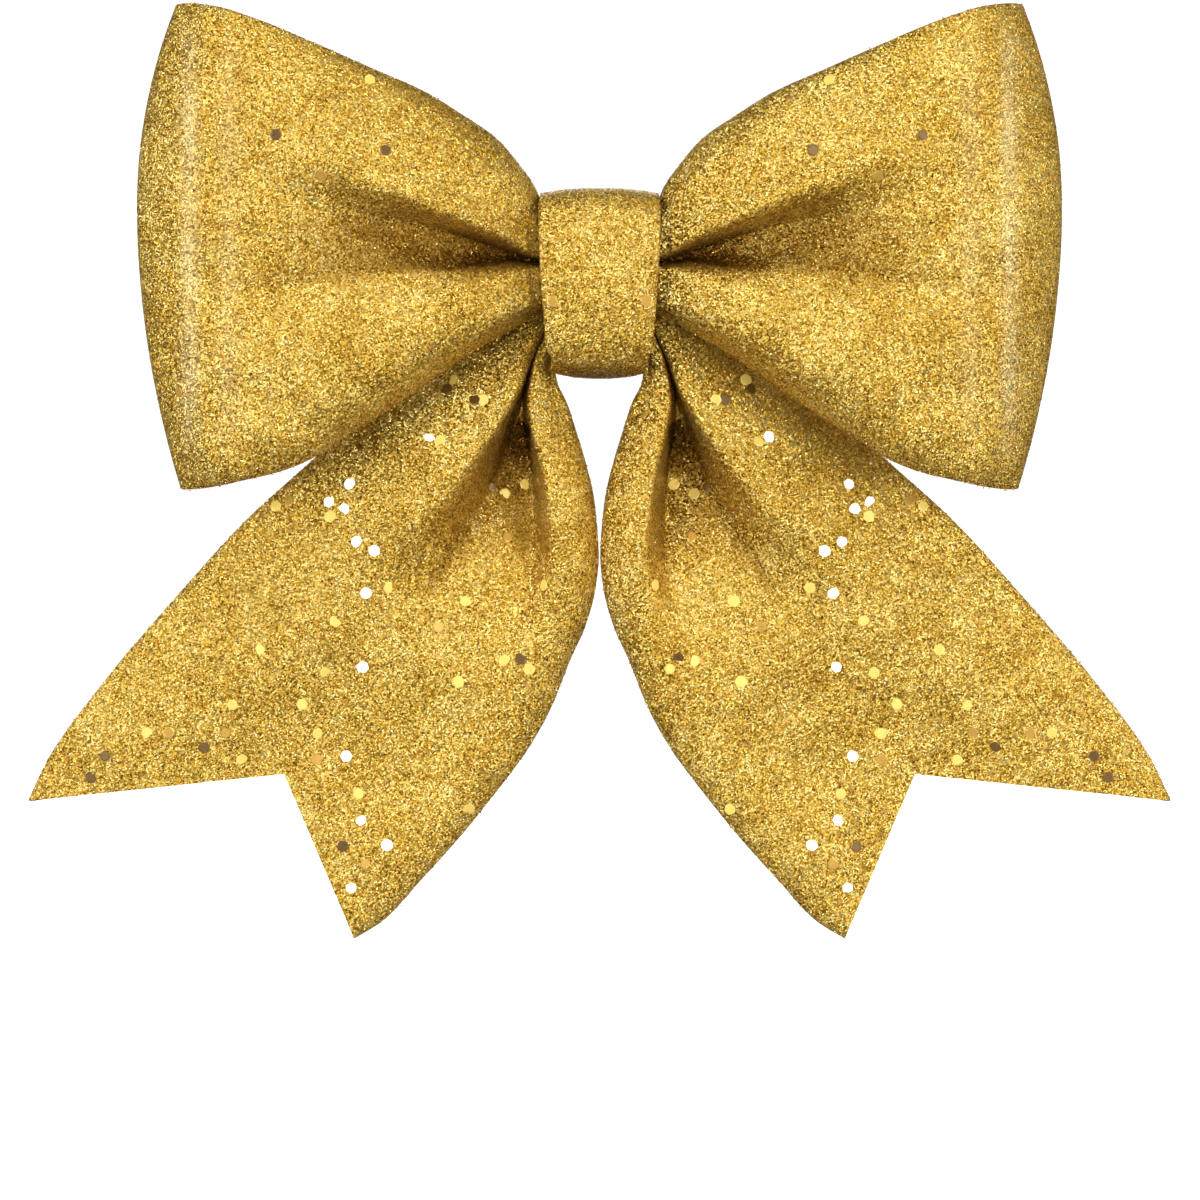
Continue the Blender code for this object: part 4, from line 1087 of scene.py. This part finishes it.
# ------------------------------------------------------------------- sequins
# Places on the left half, in mm from the knot's centre, with their colours.
SPOTS = {
    "pearl": [(-39.0, -31.6), (-42.3, -34.4), (-39.9, -35.5), (-37.9, -40.6), (-35.2, -42.0), (-36.5, -48.6), (-37.0, -60.2), (-39.6, -74.1),
              (-37.3, -84.1), (-33.2, -88.0), (-38.8, -94.7), (-26.5, -24.2)],
    "lemon": [(-50.6, -35.0), (-14.8, -33.1), (-11.6, -31.6), (-32.9, -47.8), (-21.0, -49.9), (-8.7, -47.4), (-53.1, -57.5), (-42.9, -61.1),
              (-14.8, -59.2), (-22.1, -62.5), (-57.4, -66.1), (-46.5, -66.0), (-70.7, -70.5), (-44.0, -70.6), (-55.9, -74.7), (-37.7, -80.0),
              (-20.4, -82.4), (-42.1, -36.6), (-41.3, -53.0), (-11.0, -60.5), (-24.9, -24.9), (-22.9, -15.3), (-18.2, -18.4), (-35.9, 31.6)],
    "amber": [(-48.5, -34.2), (-67.4, -70.5), (-58.4, -70.5), (-44.2, -74.7), (-36.5, -91.0), (-25.2, -53.9), (-14.3, -39.9), (-43.5, 16.6),
              (-65.7, -17.2), (-7.4, -3.0)],
    "umber": [(-61.8, -72.7), (-79.5, -77.4), (-77.3, -74.1), (-40.1, -88.2), (-12.3, -58.8), (-16.8, -32.2), (-23.8, -16.7), (-19.5, -18.4),
              (-50.6, 23.0), (-33.4, 20.6)],
}

EYE = np.array((0.00008, -0.018 - 1200 * 0.1563 * MM * 200 / 36, (282 - 600) * 0.1563 * MM))


OWNER = {"loop_ribbon_cloth": "bow", "knot_wrap_cloth": "bow", "tail_left_cloth": "left", "tail_right_cloth": "right"}


def sequin(place, normal, radius, r):
    """Six-sided sequin with a rounded rim, lying a little tilted."""
    n = np.array(normal) + 0.10 * r.normal(size=3)
    n /= np.linalg.norm(n)
    u_ = np.cross(n, r.normal(size=3))
    u_ /= np.linalg.norm(u_)
    w_ = np.cross(n, u_)
    rings = [(0.0, 0.055), (0.80, 0.055), (1.0, 0.02), (1.0, -0.03), (0.0, -0.03)]
    verts, faces = [np.array(place) + n * rings[0][1] * MM], []
    for share, height in rings[1:4]:
        for k_ in range(12):
            # Hexagon with its corners cut, as a punched sequin has.
            a_ = (k_ // 2) * math.pi / 3 + (0.13 if k_ % 2 else -0.13)
            verts.append(np.array(place) + radius * share * MM * (math.cos(a_) * u_ + math.sin(a_) * w_) + n * height * MM)
    verts.append(np.array(place) + n * rings[4][1] * MM)
    for k_ in range(12):
        m_ = (k_ + 1) % 12
        faces.append((0, 1 + k_, 1 + m_))
        for ring in range(2):
            a_, b_ = 1 + 12 * ring, 13 + 12 * ring
            faces.append((a_ + k_, b_ + k_, b_ + m_))
            faces.append((a_ + k_, b_ + m_, a_ + m_))
        faces.append((25 + k_, 37, 25 + m_))
    return verts, faces


sets = {"bow": ([], [], []), "left": ([], [], []), "right": ([], [], [])}
r = np.random.default_rng(97)


def add_sequin(hit, normal, owner, colour):
    verts, faces, kinds = sets[owner]
    v_, f_ = sequin(np.array(hit) + np.array(normal) * 0.05 * MM, normal, r.uniform(0.84, 0.98), r)
    base = len(verts)
    verts += list(v_)
    faces += [tuple(base + k_ for k_ in f) for f in f_]
    kinds += [colour] * len(f_)


for colour, places in SPOTS.items():
    for x_, z_ in places:
        for sign in (1, -1):
            target = np.array((sign * x_ * MM, -0.018, z_ * MM))
            ray = target - EYE
            hit, normal, index, _ = cloth_tree.ray_cast(Vector(EYE), Vector(ray / np.linalg.norm(ray)))
            if hit is None:
                continue
            if normal.y > 0:
                normal = -normal
            add_sequin(hit, normal, OWNER[cloth_owner[index]], colour)
# A few more on the backs of the loops.
p, n, rr = scatter(band, band_n, 90, 75, 0.25 * MM, closed=True, skip=behind_knot)
for place, normal in zip(p, n):
    if normal[1] > 0.3:
        add_sequin(place, normal, "bow", ("pearl", "lemon", "amber", "umber")[int(rr.integers(4))])

sequins = {}
ORDER = list(SEQUINS)
for owner, (verts, faces, kinds) in sets.items():
    obj = make_mesh(f"sequins_{owner}", verts, faces, [SEQUINS[k_] for k_ in ORDER], smooth=False)
    obj.data.polygons.foreach_set("material_index", [ORDER.index(k_) for k_ in kinds])
    sequins[owner] = obj
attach(sequins["bow"], "bow")
for side, sign in (("left", -1), ("right", 1)):
    for obj in (sequins[side], tail_flakes[side]):
        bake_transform(obj)

# --------------------------------------------------------------------- studio
def area_light(name, place, target, size, power, colour=(1, 1, 1), size_y=None):
    data = bpy.data.lights.new(name, "AREA")
    data.energy = power
    data.color = colour
    data.size = size
    if size_y:
        data.shape = "RECTANGLE"
        data.size_y = size_y
    obj = bpy.data.objects.new(name, data)
    obj.location = place
    obj.rotation_euler = (Vector(target) - Vector(place)).to_track_quat("-Z", "Y").to_euler()
    obj.visible_camera = False
    bpy.context.collection.objects.link(obj)
    return obj


world = bpy.data.worlds.new("studio")
bpy.context.scene.world = world
world.use_nodes = True
tree = world.node_tree
for node in list(tree.nodes):
    tree.nodes.remove(node)
g = Graph(tree)
out = g.node("ShaderNodeOutputWorld")
lit = g.node("ShaderNodeBackground", {"Color": (1.0, 0.98, 0.95, 1), "Strength": 0.24})
g.link(lit.outputs[0], out.inputs[0])


def backdrop_material(name, glow):
    mat, tree_, bsdf = fresh(name)
    g_ = Graph(tree_)
    haze = g_.node("ShaderNodeTexNoise", {"Scale": 3.0, "Detail": 2.0}).outputs[0]
    g_.link(g_.mix(haze, (0.93, 0.93, 0.93), (0.96, 0.96, 0.96)), bsdf.inputs["Base Color"])
    bsdf.inputs["Roughness"].default_value = 0.9
    bsdf.inputs["Specular IOR Level"].default_value = 0.0
    bsdf.inputs["Emission Color"].default_value = (1, 1, 1, 1)
    bsdf.inputs["Emission Strength"].default_value = glow
    return mat


# Pale floor that sweeps up into a pale dome all round.
floor_z = CAD_BOX[0][2] - 0.0008
profile = [(0.0, 0.0), (0.4, 0.0), (1.2, 0.0), (2.2, 0.0)]
profile += [(2.2 + 1.4 * math.sin(a), 1.4 - 1.4 * math.cos(a)) for a in np.linspace(0.1, math.pi / 2, 16)]
profile += [(3.6 * math.cos(a), 1.4 + 2.6 * math.sin(a)) for a in np.linspace(0.08, math.pi / 2 - 0.02, 20)]
SIDES = 72
verts, faces = [(0, 0, floor_z)], []
for radius, height in profile[1:]:
    for k_ in range(SIDES):
        a_ = 2 * math.pi * k_ / SIDES
        verts.append((radius * math.cos(a_), radius * math.sin(a_), floor_z + height))
rows = len(profile) - 1
for k_ in range(SIDES):
    m_ = (k_ + 1) % SIDES
    faces.append((0, 1 + k_, 1 + m_))
    for row in range(rows - 1):
        a_, b_ = 1 + row * SIDES, 1 + (row + 1) * SIDES
        faces.append((a_ + k_, b_ + k_, b_ + m_))
        faces.append((a_ + k_, b_ + m_, a_ + m_))
sweep = make_mesh("studio_sweep", verts, faces, [backdrop_material("pale_sweep", 0.9)])
sweep.visible_diffuse = False
sweep.visible_glossy = False
sweep.visible_transmission = False
sweep.visible_shadow = False

FOCUS = (0, -0.018, -0.03)
area_light("key", (0.0, -1.16, 0.34), FOCUS, 0.50, 2.4, (1.0, 0.985, 0.955), 0.36)
area_light("front", (0.0, -1.25, 0.06), FOCUS, 0.55, 1.55, (1.0, 0.985, 0.955))
area_light("low", (0.0, -1.10, -0.55), FOCUS, 0.50, 2.1, (1.0, 0.985, 0.955))
area_light("top", (0.0, -0.45, 0.95), FOCUS, 0.50, 3.3, (1.0, 0.985, 0.955), 0.3)
for sign, label in ((-1, "left"), (1, "right")):
    area_light(f"strip_{label}", (sign * 0.80, -0.90, 0.05), FOCUS, 0.12, 5.6, (1.0, 0.985, 0.955), 0.8)
    area_light(f"side_{label}", (sign * 1.15, -0.25, 0.05), FOCUS, 0.4, 3.2, (1.0, 0.985, 0.955), 0.8)
area_light("back_high", (0.0, 1.1, 0.2), FOCUS, 0.9, 6.0)

camera_data = bpy.data.cameras.new("camera")
camera_data.lens = 200.0
camera_data.sensor_width = 36.0
camera = bpy.data.objects.new("camera", camera_data)
camera.location = EYE
camera.rotation_euler = (math.pi / 2, 0, 0)
camera_data.clip_start, camera_data.clip_end = 0.05, 30
bpy.context.collection.objects.link(camera)
bpy.context.scene.camera = camera
view = bpy.context.scene.view_settings
view.view_transform = "Standard"
view.look = "None"
view.exposure = 0.0
